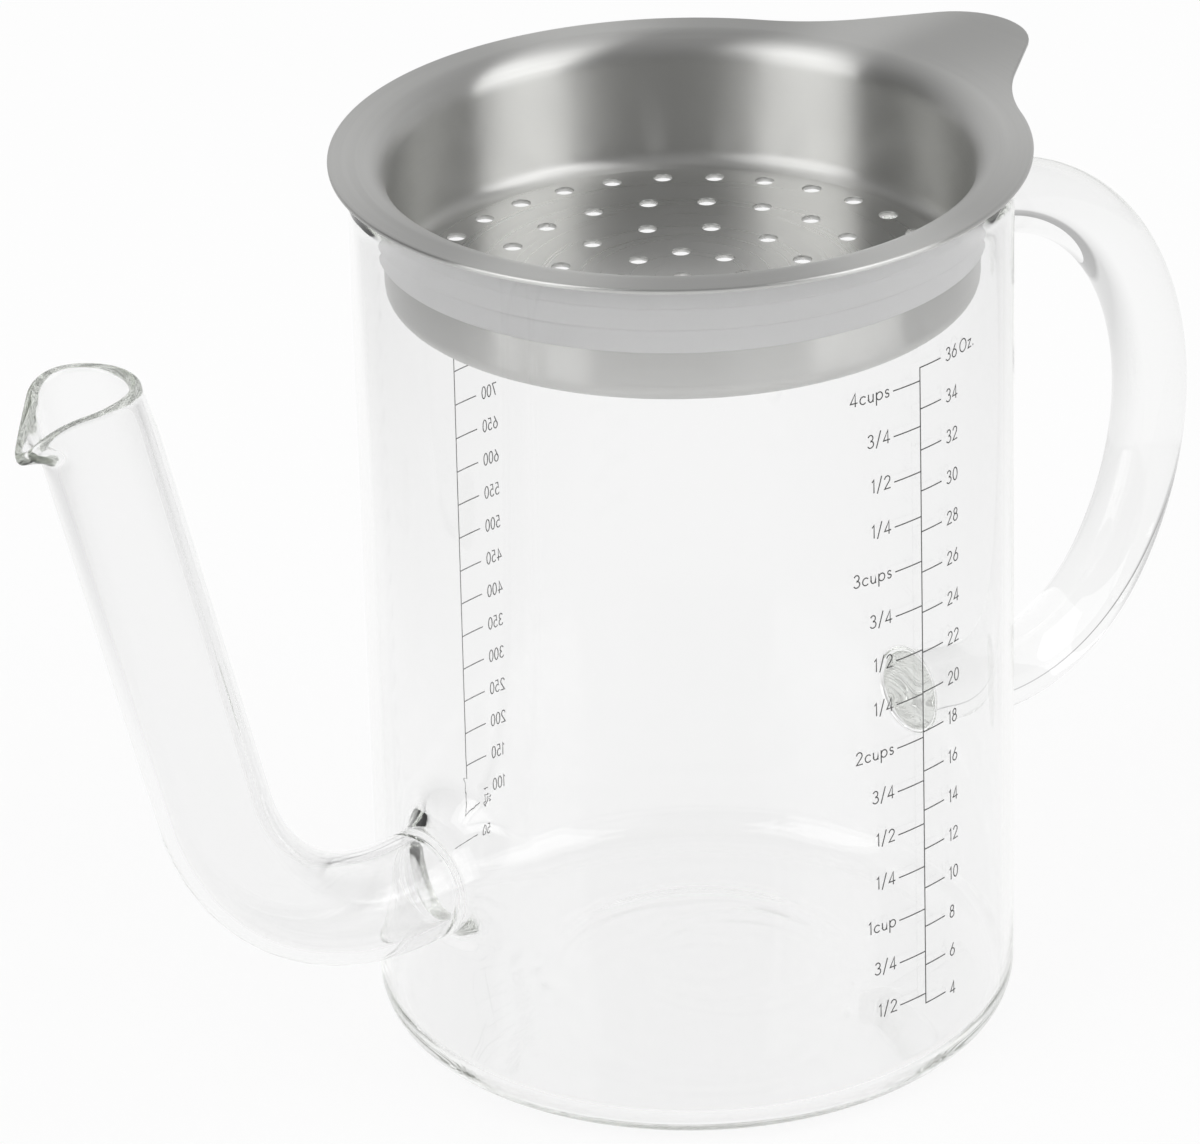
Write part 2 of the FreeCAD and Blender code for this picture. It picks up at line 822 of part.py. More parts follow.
def main():
    """Build every piece, test it and write one STEP file for each."""
    os.makedirs("parts", exist_ok=True)
    doc = FreeCAD.newDocument("fat_separator")
    fill_sheet(doc)
    builders = (
        build_jug_body,
        build_pouring_spout,
        build_handle,
        build_strainer_basket,
        build_seal_ring,
    )
    pieces = [build(doc) for build in builders]
    doc.recompute()
    check_document(doc, pieces)
    check_cuts(pieces)
    for piece in pieces:
        box = piece.Shape.BoundBox
        print(
            f"{piece.Label}: {piece.Shape.Volume:.1f} mm3, "
            f"x {box.XMin:.2f} to {box.XMax:.2f}, z {box.ZMin:.2f} to {box.ZMax:.2f}"
        )
        piece.Shape.exportStep(f"parts/{piece.Label}.step")


main()
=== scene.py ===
"""Looks of a glass gravy fat separator with a lift-out strainer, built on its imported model.

The frame has +Z up and its origin at the centre of the jug's base. The spout points to -X, the
handle and the strainer's tab to +X. Sizes in the classes are in millimetres and degrees, and
meshes are in metres.
"""

import logging
import math
from collections.abc import Iterable
from dataclasses import dataclass, field
from enum import Enum
from functools import cached_property

import bmesh
import bpy
from mathutils import Matrix, Vector


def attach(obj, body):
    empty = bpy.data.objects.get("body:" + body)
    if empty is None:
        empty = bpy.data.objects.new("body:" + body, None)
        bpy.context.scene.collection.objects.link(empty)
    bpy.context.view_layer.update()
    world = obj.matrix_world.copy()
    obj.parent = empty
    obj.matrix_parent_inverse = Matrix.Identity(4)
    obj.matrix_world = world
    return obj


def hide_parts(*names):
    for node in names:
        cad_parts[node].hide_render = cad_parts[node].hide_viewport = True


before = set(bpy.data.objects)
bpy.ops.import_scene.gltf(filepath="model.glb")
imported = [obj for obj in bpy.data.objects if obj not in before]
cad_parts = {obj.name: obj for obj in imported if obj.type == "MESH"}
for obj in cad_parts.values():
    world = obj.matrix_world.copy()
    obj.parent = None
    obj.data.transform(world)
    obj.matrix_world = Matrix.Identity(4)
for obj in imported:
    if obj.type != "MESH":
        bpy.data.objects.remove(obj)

LOG = logging.getLogger("fat_separator")
MM = 0.001
TOLERANCE = 0.001
WHITE = (1.0, 1.0, 1.0, 1.0)

Point = tuple[float, float]
Line = list[Point]
Stops = tuple[Point, ...]
Edges = list[bmesh.types.BMEdge]
Verts = list[bmesh.types.BMVert]
Tree = bpy.types.NodeTree
Socket = bpy.types.NodeSocket


class Body(Enum):
    """The bodies that carry the pieces."""

    ROOT = "root"
    SEAL = "seal"
    STRAINER = "strainer"


class Slot(Enum):
    """The names of the material slots."""

    GLASS = "glass"
    SEAL = "seal"
    STEEL = "steel"
    PRINT = "print"


def linear(hex_colour: str) -> tuple[float, float, float, float]:
    """Turn an sRGB hex colour to the linear values that shaders take.

    Args:
        hex_colour: Six hex digits after a hash.

    Returns:
        Red, green, blue and an alpha of 1.
    """
    channels = [int(hex_colour[at:at + 2], 16) / 255 for at in (1, 3, 5)]
    curved = [c / 12.92 if c <= 0.04045 else ((c + 0.055) / 1.055) ** 2.4 for c in channels]
    return (*curved, 1.0)


def add_node(tree: Tree, kind: str, settings: dict | None = None, **inputs: object
             ) -> bpy.types.Node:
    """Add a node with its settings, and fill or link its inputs.

    Args:
        tree: The node tree that gets the node.
        kind: The node's type name.
        settings: Properties to set on the node. "stops" fills a ramp with places and levels.
        **inputs: Values or output sockets by input name, with _ for a space, or by number.

    Returns:
        The new node.
    """
    node = tree.nodes.new(kind)
    for name, value in (settings or {}).items():
        if name != "stops":
            setattr(node, name, value)
            continue
        elements = node.color_ramp.elements
        while len(elements) < len(value):
            elements.new(0.5)
        for element, (place, level) in zip(elements, value):
            element.position = place
            element.color = (level, level, level, 1)
    for name, value in inputs.items():
        key = int(name[1:]) if name[1:].isdigit() else name.replace("_", " ")
        if isinstance(value, Socket):
            tree.links.new(value, node.inputs[key])
        else:
            node.inputs[key].default_value = value
    return node


def start_material(name: str) -> tuple[bpy.types.Material, Tree, Socket]:
    """Start an empty material.

    Args:
        name: The material's name.

    Returns:
        The material, its node tree and the socket of its Object coordinates.
    """
    material = bpy.data.materials.new(name)
    material.use_nodes = True
    tree = material.node_tree
    tree.nodes.clear()
    return material, tree, add_node(tree, "ShaderNodeTexCoord").outputs["Object"]


def raise_grain(tree: Tree, depth_mm: float, **noise: object) -> tuple[Socket, Socket]:
    """Raise a surface by a noise.

    Args:
        tree: The material's node tree.
        depth_mm: How deep the noise goes.
        **noise: The noise's inputs.

    Returns:
        The noise's value and the surface's normal.
    """
    height = add_node(tree, "ShaderNodeTexNoise", **noise).outputs["Fac"]
    bump = add_node(tree, "ShaderNodeBump", Height=height, Distance=depth_mm * MM, Strength=1.0)
    return height, bump.outputs["Normal"]


@dataclass(frozen=True)
class GlassFinish:
    """Clear borosilicate glass, blown and lamp-worked, then fire polished."""

    # The eye gets sharp bright edges, slow waves from blowing, and a faint iron tint only where
    # light runs a long way inside, at the rims and in the rod.
    name: str = "borosilicate_glass_fire_polished"
    clearness: str = "#fbfbfb"
    tint: str = "#e4e8e0"
    tint_per_metre: float = 3.0
    refraction: float = 1.473
    wave_mm: float = 34.0
    wave_depth_mm: float = 0.05

    def build(self) -> bpy.types.Material:
        """Make the material.

        Returns:
            Clear glass that waves a little.
        """
        material, tree, place = start_material(self.name)
        _, normal = raise_grain(
            tree, self.wave_depth_mm, Vector=place, Scale=1 / (self.wave_mm * MM), Detail=1.0,
        )
        glass = add_node(
            tree, "ShaderNodeBsdfPrincipled", Base_Color=linear(self.clearness), Roughness=0.0,
            IOR=self.refraction, Transmission_Weight=1.0, Normal=normal,
        )
        tint = add_node(
            tree, "ShaderNodeVolumeAbsorption", Color=linear(self.tint),
            Density=self.tint_per_metre,
        )
        add_node(tree, "ShaderNodeOutputMaterial", Surface=glass.outputs["BSDF"],
                 Volume=tint.outputs["Volume"])
        return material


@dataclass(frozen=True)
class SteelFinish:
    """Stainless steel sheet, deep drawn and then brushed or turned round its axis."""

    # The fine lines spread reflections up and down the wall, into soft upright bands. Real lines
    # are about 0.05 mm apart, and these are drawn coarser, so that they show.
    name: str = "stainless_steel_brushed"
    colour: str = "#d9d9d7"
    roughness: float = 0.34
    roughness_spread: float = 0.04
    line_mm: float = 0.3
    run_mm: float = 60.0
    line_depth_mm: float = 0.0015
    line_detail: float = 3.0
    line_roughness: float = 0.6
    grain_low: float = 0.3
    grain_high: float = 0.7
    lean: float = 1.0
    quarter_turn: float = 0.25

    def build(self) -> bpy.types.Material:
        """Make the material, with lines that run round the Z axis.

        Returns:
            Steel that spreads light across its lines.
        """
        material, tree, place = start_material(self.name)
        run = 1 / (self.run_mm * MM)
        line = 1 / (self.line_mm * MM)
        parts = add_node(tree, "ShaderNodeSeparateXYZ", Vector=place)
        flat = add_node(tree, "ShaderNodeCombineXYZ", X=parts.outputs["X"], Y=parts.outputs["Y"])
        radius = add_node(tree, "ShaderNodeVectorMath", {"operation": "LENGTH"},
                          Vector=flat.outputs["Vector"])
        reach = add_node(tree, "ShaderNodeMath", {"operation": "ADD"},
                         _0=radius.outputs["Value"], _1=parts.outputs["Z"])
        spot = add_node(tree, "ShaderNodeCombineXYZ", X=parts.outputs["X"],
                        Y=parts.outputs["Y"], Z=reach.outputs[0])
        drawn = add_node(tree, "ShaderNodeVectorMath", {"operation": "MULTIPLY"},
                         _0=spot.outputs["Vector"], _1=(run, run, line))
        grain, normal = raise_grain(
            tree, self.line_depth_mm, Vector=drawn.outputs["Vector"], Scale=1.0,
            Detail=self.line_detail, Roughness=self.line_roughness,
        )
        rough = add_node(
            tree, "ShaderNodeMapRange", Value=grain, From_Min=self.grain_low,
            From_Max=self.grain_high, To_Min=self.roughness - self.roughness_spread,
            To_Max=self.roughness + self.roughness_spread,
        )
        tangent = add_node(tree, "ShaderNodeTangent", {"direction_type": "RADIAL", "axis": "Z"})
        steel = add_node(
            tree, "ShaderNodeBsdfPrincipled", Base_Color=linear(self.colour), Metallic=1.0,
            Roughness=rough.outputs["Result"], Anisotropic=self.lean,
            Anisotropic_Rotation=self.quarter_turn, Normal=normal,
            Tangent=tangent.outputs["Tangent"],
        )
        add_node(tree, "ShaderNodeOutputMaterial", Surface=steel.outputs["BSDF"])
        return material


@dataclass(frozen=True)
class SiliconeFinish:
    """Translucent white silicone rubber, moulded, with a satin skin."""

    # It looks cloudy white and soft, with dull wide highlights. The mould's grain is finer in
    # truth, and is drawn as coarse as it needs to show.
    name: str = "silicone_rubber_moulded"
    colour: str = "#fefefe"
    roughness: float = 0.35
    clearness: float = 0.03
    refraction: float = 1.41
    grain_mm: float = 0.6
    grain_depth_mm: float = 0.01

    def build(self) -> bpy.types.Material:
        """Make the material.

        Returns:
            White rubber that lets a little light through.
        """
        material, tree, place = start_material(self.name)
        _, normal = raise_grain(
            tree, self.grain_depth_mm, Vector=place, Scale=1 / (self.grain_mm * MM), Detail=2.0,
        )
        rubber = add_node(
            tree, "ShaderNodeBsdfPrincipled", Base_Color=linear(self.colour),
            Roughness=self.roughness, IOR=self.refraction, Transmission_Weight=self.clearness,
            Normal=normal,
        )
        add_node(tree, "ShaderNodeOutputMaterial", Surface=rubber.outputs["BSDF"])
        return material


@dataclass(frozen=True)
class EnamelFinish:
    """Dark grey enamel, screen printed and fired onto the glass."""

    # The ink's thickness varies from the screen's mesh, so that the lines look lightly worn.
    name: str = "enamel_screen_printed"
    dark: str = "#3b3b3b"
    pale: str = "#5a5a5a"
    roughness: float = 0.55
    speck_mm: float = 0.5

    def build(self) -> bpy.types.Material:
        """Make the material.

        Returns:
            Uneven dark ink.
        """
        material, tree, place = start_material(self.name)
        speck = add_node(tree, "ShaderNodeTexNoise", Vector=place,
                         Scale=1 / (self.speck_mm * MM), Detail=2.0)
        ink = add_node(tree, "ShaderNodeMix", {"data_type": "RGBA"}, _0=speck.outputs["Fac"],
                       _6=linear(self.dark), _7=linear(self.pale))
        enamel = add_node(tree, "ShaderNodeBsdfPrincipled", Base_Color=ink.outputs[2],
                          Roughness=self.roughness)
        add_node(tree, "ShaderNodeOutputMaterial", Surface=enamel.outputs["BSDF"])
        return material


def place_piece(bm: bmesh.types.BMesh, name: str, material: bpy.types.Material, body: Body,
                slot: Slot, sharp_degrees: float | None = None) -> bpy.types.Object:
    """Orient and shade a bmesh, and show it as a piece that rides on a body.

    Args:
        bm: A closed surface in millimetres in the part's frame. It is freed.
        name: The piece's name.
        material: Its finish.
        body: The body that carries it.
        slot: A material slot. It is not used.
        sharp_degrees: The least angle between faces that is left sharp, if any.

    Returns:
        The new object.
    """
    bmesh.ops.recalc_face_normals(bm, faces=bm.faces)
    for face in bm.faces:
        face.smooth = True
    bmesh.ops.transform(bm, matrix=Matrix.Scale(MM, 4), verts=bm.verts)
    open_edges = sum(len(edge.link_faces) != 2 for edge in bm.edges)
    mesh = bpy.data.meshes.new(name)
    bm.to_mesh(mesh)
    bm.free()
    if sharp_degrees is not None:
        mesh.set_sharp_from_angle(angle=math.radians(sharp_degrees))
    mesh.materials.append(material)
    piece = bpy.data.objects.new(name, mesh)
    bpy.context.scene.collection.objects.link(piece)
    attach(piece, body.value)
    LOG.info("%s: %d faces, %d open edges", name, len(mesh.polygons), open_edges)
    return piece


def spin_profile(profile: Iterable[Point], steps: int, closed: bool = False
                 ) -> bmesh.types.BMesh:
    """Turn a profile a full turn about the Z axis.

    Args:
        profile: Its points of radius and height, in order.
        steps: How many faces go round.
        closed: Whether the last point joins the first.

    Returns:
        A new bmesh with the surface.
    """
    bm = bmesh.new()
    chain = [bm.verts.new((radius, 0, height)) for radius, height in profile]
    ends = chain[1:] + chain[:1] if closed else chain[1:]
    edges = [bm.edges.new(pair) for pair in zip(chain, ends)]
    bmesh.ops.spin(bm, geom=[*chain, *edges], cent=(0, 0, 0), axis=(0, 0, 1), angle=math.tau,
                   steps=steps, use_merge=True, use_duplicate=False)
    bmesh.ops.remove_doubles(bm, verts=bm.verts, dist=TOLERANCE)
    return bm


def arc(centre: Point, radius: float, start: float, end: float, steps: int) -> Line:
    """Return the points of a round corner after its first one.

    Args:
        centre: The arc's centre.
        radius: Its radius.
        start: Its first angle in degrees.
        end: Its last angle in degrees.
        steps: How many points it gets.

    Returns:
        The points in order, without the one at the start angle.
    """
    angles = [math.radians(start + (end - start) * step / steps) for step in range(1, steps + 1)]
    return [
        (centre[0] + radius * math.cos(angle), centre[1] + radius * math.sin(angle))
        for angle in angles
    ]


def walk_loop(edges: Iterable[bmesh.types.BMEdge]) -> Verts:
    """Put the corners of a closed loop of edges in order.

    Args:
        edges: The loop's edges, in any order.

    Returns:
        Its vertices, each joined to the next.
    """
    left = dict.fromkeys(edges)
    edge = next(iter(left))
    verts = [edge.verts[0]]
    while edge:
        del left[edge]
        verts.append(edge.other_vert(verts[-1]))
        edge = next((other for other in verts[-1].link_edges if other in left), None)
    return verts[:-1]


def ring_edges(bm: bmesh.types.BMesh, *rings: Verts) -> Edges:
    """Return the edges between the neighbours of closed rings of vertices."""
    return [bm.edges.get(pair) for ring in rings for pair in zip(ring, ring[1:] + ring[:1])]


def extend_ring(bm: bmesh.types.BMesh, verts: Verts, points: Iterable[Vector]) -> Verts:
    """Extrude an open ring once and put its new vertices in place.

    Args:
        bm: The bmesh that holds the ring.
        verts: The ring's vertices in order.
        points: Where each one's copy goes.

    Returns:
        The new ring, in the same order.
    """
    made = bmesh.ops.extrude_edge_only(bm, edges=ring_edges(bm, verts))["geom"]
    fresh = {item for item in made if isinstance(item, bmesh.types.BMVert)}
    ring = [
        next(edge.other_vert(vert) for edge in vert.link_edges if edge.other_vert(vert) in fresh)
        for vert in verts
    ]
    for vert, point in zip(ring, points):
        vert.co = point
    return ring


def circle(side: int, centre: Vector, along: Vector, radius: float, angles: Iterable[float]
           ) -> list[Vector]:
    """Return a ring round a tube or rod, its angles matching those of its branch.

    Args:
        side: 1 towards the handle, -1 towards the spout.
        centre: The ring's centre.
        along: The direction of the tube.
        radius: The ring's radius.
        angles: The points' angles in radians.

    Returns:
        The points in order.
    """
    above = Vector((-side * along.z, 0, side * along.x))
    return [
        centre + Vector((0, radius * math.cos(angle), 0)) + above * radius * math.sin(angle)
        for angle in angles
    ]


@dataclass(frozen=True)
class Branch:
    """The axis and the fillet of a tube or rod that grows out of the jug's round wall."""

    side: int
    height: float
    tilt: float
    radius: float
    blend: float
    rise: float
    wall: float

    @property
    def along(self) -> Vector:
        """Return the direction in which it leaves the wall."""
        tilt = math.radians(self.tilt)
        return Vector((self.side * math.cos(tilt), 0, math.sin(tilt)))

    def on_wall(self, distance: float, angle: float) -> Vector:
        """Find a point of the wall.

        Args:
            distance: How far it is from the axis.
            angle: Its angle round the axis, in radians.

        Returns:
            The point.
        """
        root = Vector((self.side * self.wall, 0, self.height))
        start, = circle(self.side, root, self.along, distance, [angle])
        depth = math.sqrt(self.wall ** 2 - start.y ** 2)
        return start + self.along * (depth - self.side * start.x) / abs(self.along.x)

    def fillet_ring(self, turn: float, angles: Iterable[float]) -> list[Vector]:
        """Return one ring of the fillet.

        Args:
            turn: How far round the fillet, 0 degrees on the wall and 90 on the tube.
            angles: The points' angles in radians.

        Returns:
            The points in order.
        """
        turn = math.radians(turn)
        distance = self.radius + self.blend * (1 - math.sin(turn))
        lift = self.along * self.rise * (1 - math.cos(turn))
        return [self.on_wall(distance, angle) + lift for angle in angles]


@dataclass(frozen=True)
class Ripple:
    """A low, soft ring that the maker's tools left in the floor, deeper on one side."""

    centre: Point
    radius: float
    height: float
    width: float
    bias: float
    facing: float = 47.0

    def lift(self, x: float, y: float) -> float:
        """Find how much it raises the floor.

        Args:
            x: The place on the floor.
            y: The place on the floor.

        Returns:
            The rise in millimetres.
        """
        across = x - self.centre[0]
        up = y - self.centre[1]
        away = (math.hypot(across, up) - self.radius) / self.width
        turn = math.atan2(up, across) - math.radians(self.facing)
        share = 1 - abs(self.bias) * (1 - math.copysign(1, self.bias) * math.cos(turn)) / 2
        return self.height * share * math.exp(-away * away)


@dataclass
class Vessel:
    """Builds the jug, its spout and its handle as one closed skin of glass, fused together."""

    outer: float = 52.5
    wall: float = 1.8
    height: float = 149.7
    edge_steps: int = 10
    base: float = 2.5
    corner: float = 7.0
    inner_corner: float = 5.5
    corner_steps: int = 14
    punt: float = 38.0
    punt_rise: float = 1.2
    under_rings: int = 7
    floor_rings: int = 48
    ripples: tuple[Ripple, ...] = (
        Ripple((8.2, -0.4), 15.8, 0.3, 1.7, 0.35), Ripple((2.7, 2.5), 25.3, 0.5, 1.6, 1.0),
        Ripple((-6.0, -9.0), 24.0, 0.2, 2.0, -0.6), Ripple((4.0, 3.0), 8.5, 0.15, 2.0, 0.2),
    )
    steps: int = 240
    cells: int = 28
    rod_cells: int = 20
    cell_margin: float = 0.1
    row_margin: float = 0.3
    row_step: float = 7.0
    drawn_rings: int = 7
    fillet_step: int = 10

    spout_radius: float = 9.0
    spout_wall: float = 2.0
    spout_height: float = 43.0
    neck_blend: float = 7.5
    bore_blend: float = 8.0
    bore_edge: float = 7.9
    seam: Stops = ((61.0, 7.0), (60.4, 6.9), (59.9, 6.85), (59.45, 7.15), (59.1, 7.65))
    tube_x: float = 61.5
    arm_x: float = 63.5
    bend: float = 40.0
    lean: float = 15.0
    bend_step: float = 1.5
    riser_step: float = 3.0

    mouth_top: float = 150.8
    tube_end: float = 13.0
    lip_root: float = 9.6
    lip_tip: float = 7.8
    lip_thickness: float = 1.4
    lip_reach: float = 15.1
    nose: float = 2.2
    inner_nose: float = 0.8
    brink_radius: float = 21.0
    brink_start: float = 1.3
    brink_rounds: int = 4
    lip_rings: int = 16
    lip_pull: float = 2.2
    rim_steps: int = 8

    rod: float = 6.44
    rod_top: float = 119.6
    rod_top_tilt: float = 13.0
    rod_foot: float = 36.3
    rod_foot_tilt: float = 14.3
    upper_bulge: float = 6.05
    lower_bend: float = 32.4
    rod_step: float = 1.8
    foot_step: float = 2.5
    weld_blend: float = 1.6
    weld_rise: float = 3.0
    weld_gap: float = 5.4

    def build(self, material: bpy.types.Material) -> bpy.types.Object:
        """Make the glass and let it stand for the three solids that it replaces.

        Args:
            material: The glass finish.

        Returns:
            The finished piece.
        """
        bm = spin_profile(self.profile(), self.steps)
        self.ripple_floor(bm)
        inside = self.outer - self.wall
        neck = Branch(-1, self.spout_height, 0.0, self.spout_radius, self.neck_blend,
                      self.neck_blend, self.outer)
        bore = Branch(-1, self.spout_height, 0.0, self.bore_edge, self.bore_blend,
                      self.bore_blend, inside)
        rod = (self.rod, self.weld_blend, self.weld_rise, self.outer)
        top = Branch(1, self.rod_top, self.rod_top_tilt, *rod)
        foot = Branch(1, self.rod_foot, -self.rod_foot_tilt, *rod)
        neck_ring, neck_angles = self.open_wall(bm, neck, self.cells)
        bore_ring, _ = self.open_wall(bm, bore, self.cells)
        top_ring, rod_angles = self.open_wall(bm, top, self.rod_cells)
        foot_ring, _ = self.open_wall(bm, foot, self.rod_cells)
        spout_end = self.draw_spout(bm, neck_ring, neck_angles)
        bmesh.ops.bridge_loops(bm, edges=ring_edges(bm, spout_end, bore_ring))
        for centre, along in self.handle_route():
            top_ring = extend_ring(bm, top_ring, circle(1, centre, along, self.rod, rod_angles))
        bmesh.ops.bridge_loops(bm, edges=ring_edges(bm, top_ring, foot_ring))
        piece = place_piece(bm, "jug_glass", material, Body.ROOT, Slot.GLASS)
        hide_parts("jug_body", "pouring_spout", "handle")
        return piece

    def profile(self) -> Line:
        """Return the section of the jug.

        Returns:
            Points from under its base, up outside, over the rim and down to its floor's middle.
        """
        inside = self.outer - self.wall
        edge = (self.outer - self.corner, self.corner)
        rim = (self.outer - self.wall / 2, self.height - self.wall / 2)
        inner_edge = (inside - self.inner_corner, self.base + self.inner_corner)
        inner_rows = self.wall_rows(inside, inner_edge[1])
        return [
            *self.dome(0, self.under_rings), (edge[0], 0.0),
            *arc(edge, self.corner, -90, 0, self.corner_steps),
            *((self.outer, level) for level in self.wall_rows(self.outer, self.corner)[1:]),
            *arc(rim, self.wall / 2, 0, 180, self.edge_steps),
            *((inside, level) for level in reversed(inner_rows[:-1])),
            *arc(inner_edge, self.inner_corner, 0, -90, self.corner_steps),
            *reversed(self.dome(self.base, self.floor_rings)),
        ]

    def dome(self, lift: float, rings: int) -> Line:
        """Return the punt's arch.

        Args:
            lift: The height of its edge.
            rings: How many faces it has from the axis to its edge.

        Returns:
            Its points of radius and height, from the axis outwards.
        """
        round_radius = (self.punt ** 2 + self.punt_rise ** 2) / (2 * self.punt_rise)
        low = lift + self.punt_rise - round_radius
        radii = [self.punt * ring / rings for ring in range(rings + 1)]
        return [(radius, low + math.sqrt(round_radius ** 2 - radius ** 2)) for radius in radii]

    def ripple_floor(self, bm: bmesh.types.BMesh) -> None:
        """Raise the soft rings in the floor inside.

        Args:
            bm: The jug's bmesh.
        """
        margin = 0.1
        for vert in bm.verts:
            x, y, level = vert.co
            on_floor = -margin < level - self.base < self.punt_rise + margin
            if on_floor and math.hypot(x, y) < self.punt:
                vert.co.z += sum(ripple.lift(x, y) for ripple in self.ripples)

    def wall_rows(self, radius: float, low: float) -> list[float]:
        """Return the heights of the wall's rows, close together where a branch joins it.

        Args:
            radius: The radius of the wall's surface.
            low: Where the wall starts above the corner.

        Returns:
            The heights from low up to the rim's round.
        """
        gap = math.tau * radius / self.steps
        spans = [(self.spout_height, self.cells / 2)]
        if radius == self.outer:
            down = round((self.spout_height - self.rod_foot) / gap)
            spans = [(self.spout_height, max(self.cells / 2, down + self.rod_cells / 2)),
                     (self.rod_top, self.rod_cells / 2)]
        top = self.height - self.wall / 2
        levels = {
            round(middle + gap * row, 6)
            for middle, half in spans for row in range(-round(half), round(half) + 1)
        }
        inner = [level for level in levels
                 if low + self.row_margin < level < top - self.row_margin]
        rows = [low]
        for level in [*sorted(inner), top]:
            start = rows[-1]
            parts = math.ceil((level - start) / self.row_step)
            rows += [start + (level - start) * part / parts for part in range(1, parts + 1)]
        return rows

    def open_wall(self, bm: bmesh.types.BMesh, branch: Branch, cells: int
                  ) -> tuple[Verts, list[float]]:
        """Open a square of the wall where a branch starts, and raise the branch's fillet.

        Args:
            bm: The jug's bmesh.
            branch: What grows there.
            cells: How many faces wide the opening is.

        Returns:
            The ring at the end of the branch's fillet, and its angles round the axis.
        """
        half = (cells / 2 - self.cell_margin) * math.tau * branch.wall / self.steps
        on_wall = {vert for vert in bm.verts
                   if abs(math.hypot(vert.co.x, vert.co.y) - branch.wall) < TOLERANCE}
        middle = min((vert.co.z for vert in on_wall),
                     key=lambda level: abs(level - branch.height))
        doomed = {}
        for face in bm.faces:
            spot = face.calc_center_median()
            lateral = branch.wall * math.atan2(spot.y, spot.x * branch.side)
            near = abs(lateral) < half and abs(spot.z - middle) < half
            if near and all(vert in on_wall for vert in face.verts):
                doomed[face] = None
        border = dict.fromkeys(edge for face in doomed for edge in face.edges)
        square = walk_loop(edge for edge in border
                           if any(face not in doomed for face in edge.link_faces))
        bmesh.ops.delete(bm, geom=list(doomed), context="FACES")
        return self.raise_fillet(bm, square, branch, middle)

    def raise_fillet(self, bm: bmesh.types.BMesh, square: Verts, branch: Branch, middle: float
                     ) -> tuple[Verts, list[float]]:
        """Draw a square opening in to a circle and raise the branch's fillet from it.

        Args:
            bm: The jug's bmesh.
            square: The opening's vertices in order.
            branch: What grows there.
            middle: The height of the opening's centre.

        Returns:
            The last ring and its angles round the axis.
        """
        spots = [Vector((vert.co.y, vert.co.z - middle)) for vert in square]
        if sum(a.cross(b) for a, b in zip(spots, spots[1:] + spots[:1])) < 0:
            square.reverse()
            spots.reverse()
        first = max(range(len(spots)), key=lambda at: spots[at].x - abs(spots[at].y) * TOLERANCE)
        ring = square[first:] + square[:first]
        spots = spots[first:] + spots[:first]
        shift = math.atan2(spots[0].y, spots[0].x)
        angles = [math.tau * at / len(ring) + shift for at in range(len(ring))]
        reach = branch.radius + branch.blend
        rim = [branch.on_wall(reach, angle) - Vector((0, 0, middle)) for angle in angles]
        for layer in range(1, self.drawn_rings + 1):
            points = []
            for spot, end in zip(spots, rim):
                across, up = spot.lerp(end.yz, layer / self.drawn_rings)
                depth = math.sqrt(branch.wall ** 2 - across ** 2)
                points.append(Vector((branch.side * depth, across, middle + up)))
            ring = extend_ring(bm, ring, points)
        for turn in range(self.fillet_step, 91, self.fillet_step):
            ring = extend_ring(bm, ring, branch.fillet_ring(turn, angles))
        return ring, angles

    def draw_spout(self, bm: bmesh.types.BMesh, ring: Verts, angles: list[float]) -> Verts:
        """Run the tube out to its mouth, over the rim and back down its bore.

        Args:
            bm: The jug's bmesh.
            ring: The neck's outer ring.
            angles: The ring's angles.

        Returns:
            The last ring of the bore, next to the jug.
        """
        route = self.spout_route
        bore = self.spout_radius - self.spout_wall
        inwards = [(centre, along, bore) for centre, along in reversed(route)]
        inwards += [(Vector((-across, 0, self.spout_height)), route[0][1], radius)
                    for across, radius in self.seam]
        for centre, along in route:
            points = circle(-1, centre, along, self.spout_radius, angles)
            ring = extend_ring(bm, ring, points)
        for points in self.mouth_rings(angles):
            ring = extend_ring(bm, ring, points)
        for centre, along, radius in inwards:
            ring = extend_ring(bm, ring, circle(-1, centre, along, radius, angles))
        return ring

    @cached_property
    def spout_route(self) -> list[tuple[Vector, Vector]]:
        """Return the tube's route.

        Returns:
            The centres and directions of its rings, from the neck upwards.
        """
        level = self.spout_height
        flat = Vector((-1, 0, 0))
        places = [
            (Vector((-self.tube_x - (self.arm_x - self.tube_x) * share, 0, level)), flat)
            for share in (0.0, 0.5, 1.0)
        ]
        sweep = math.radians(90 - self.lean)
        turns = math.ceil(self.bend * sweep / self.bend_step)
        middle = Vector((-self.arm_x, 0, level + self.bend))
        for turn in range(1, turns + 1):
            angle = sweep * turn / turns
            spot = middle - Vector((math.sin(angle), 0, math.cos(angle))) * self.bend
            places.append((spot, Vector((-math.cos(angle), 0, math.sin(angle)))))
        start, along = places[-1]
        length = (self.mouth_top - self.tube_end - start.z) / along.z
        runs = math.ceil(length / self.riser_step)
        return places + [(start + along * length * run / runs, along)
                         for run in range(1, runs + 1)]

    def riser_x(self, level: float) -> float:
        """Return where the riser's axis lies at a height."""
        start, along = self.spout_route[-1]
        return start.x + along.x / along.z * (level - start.z)

    def brink(self, x: float) -> float:
        """Return the height of the mouth's edge: level behind, drooping to the lip's tip.

        Args:
            x: The place along the spout's plane.

        Returns:
            The height.
        """
        start = self.riser_x(self.mouth_top - self.lip_tip) + self.brink_start
        drop = max(start - x, 0.0)
        return self.mouth_top - self.brink_radius + math.sqrt(self.brink_radius ** 2 - drop ** 2)

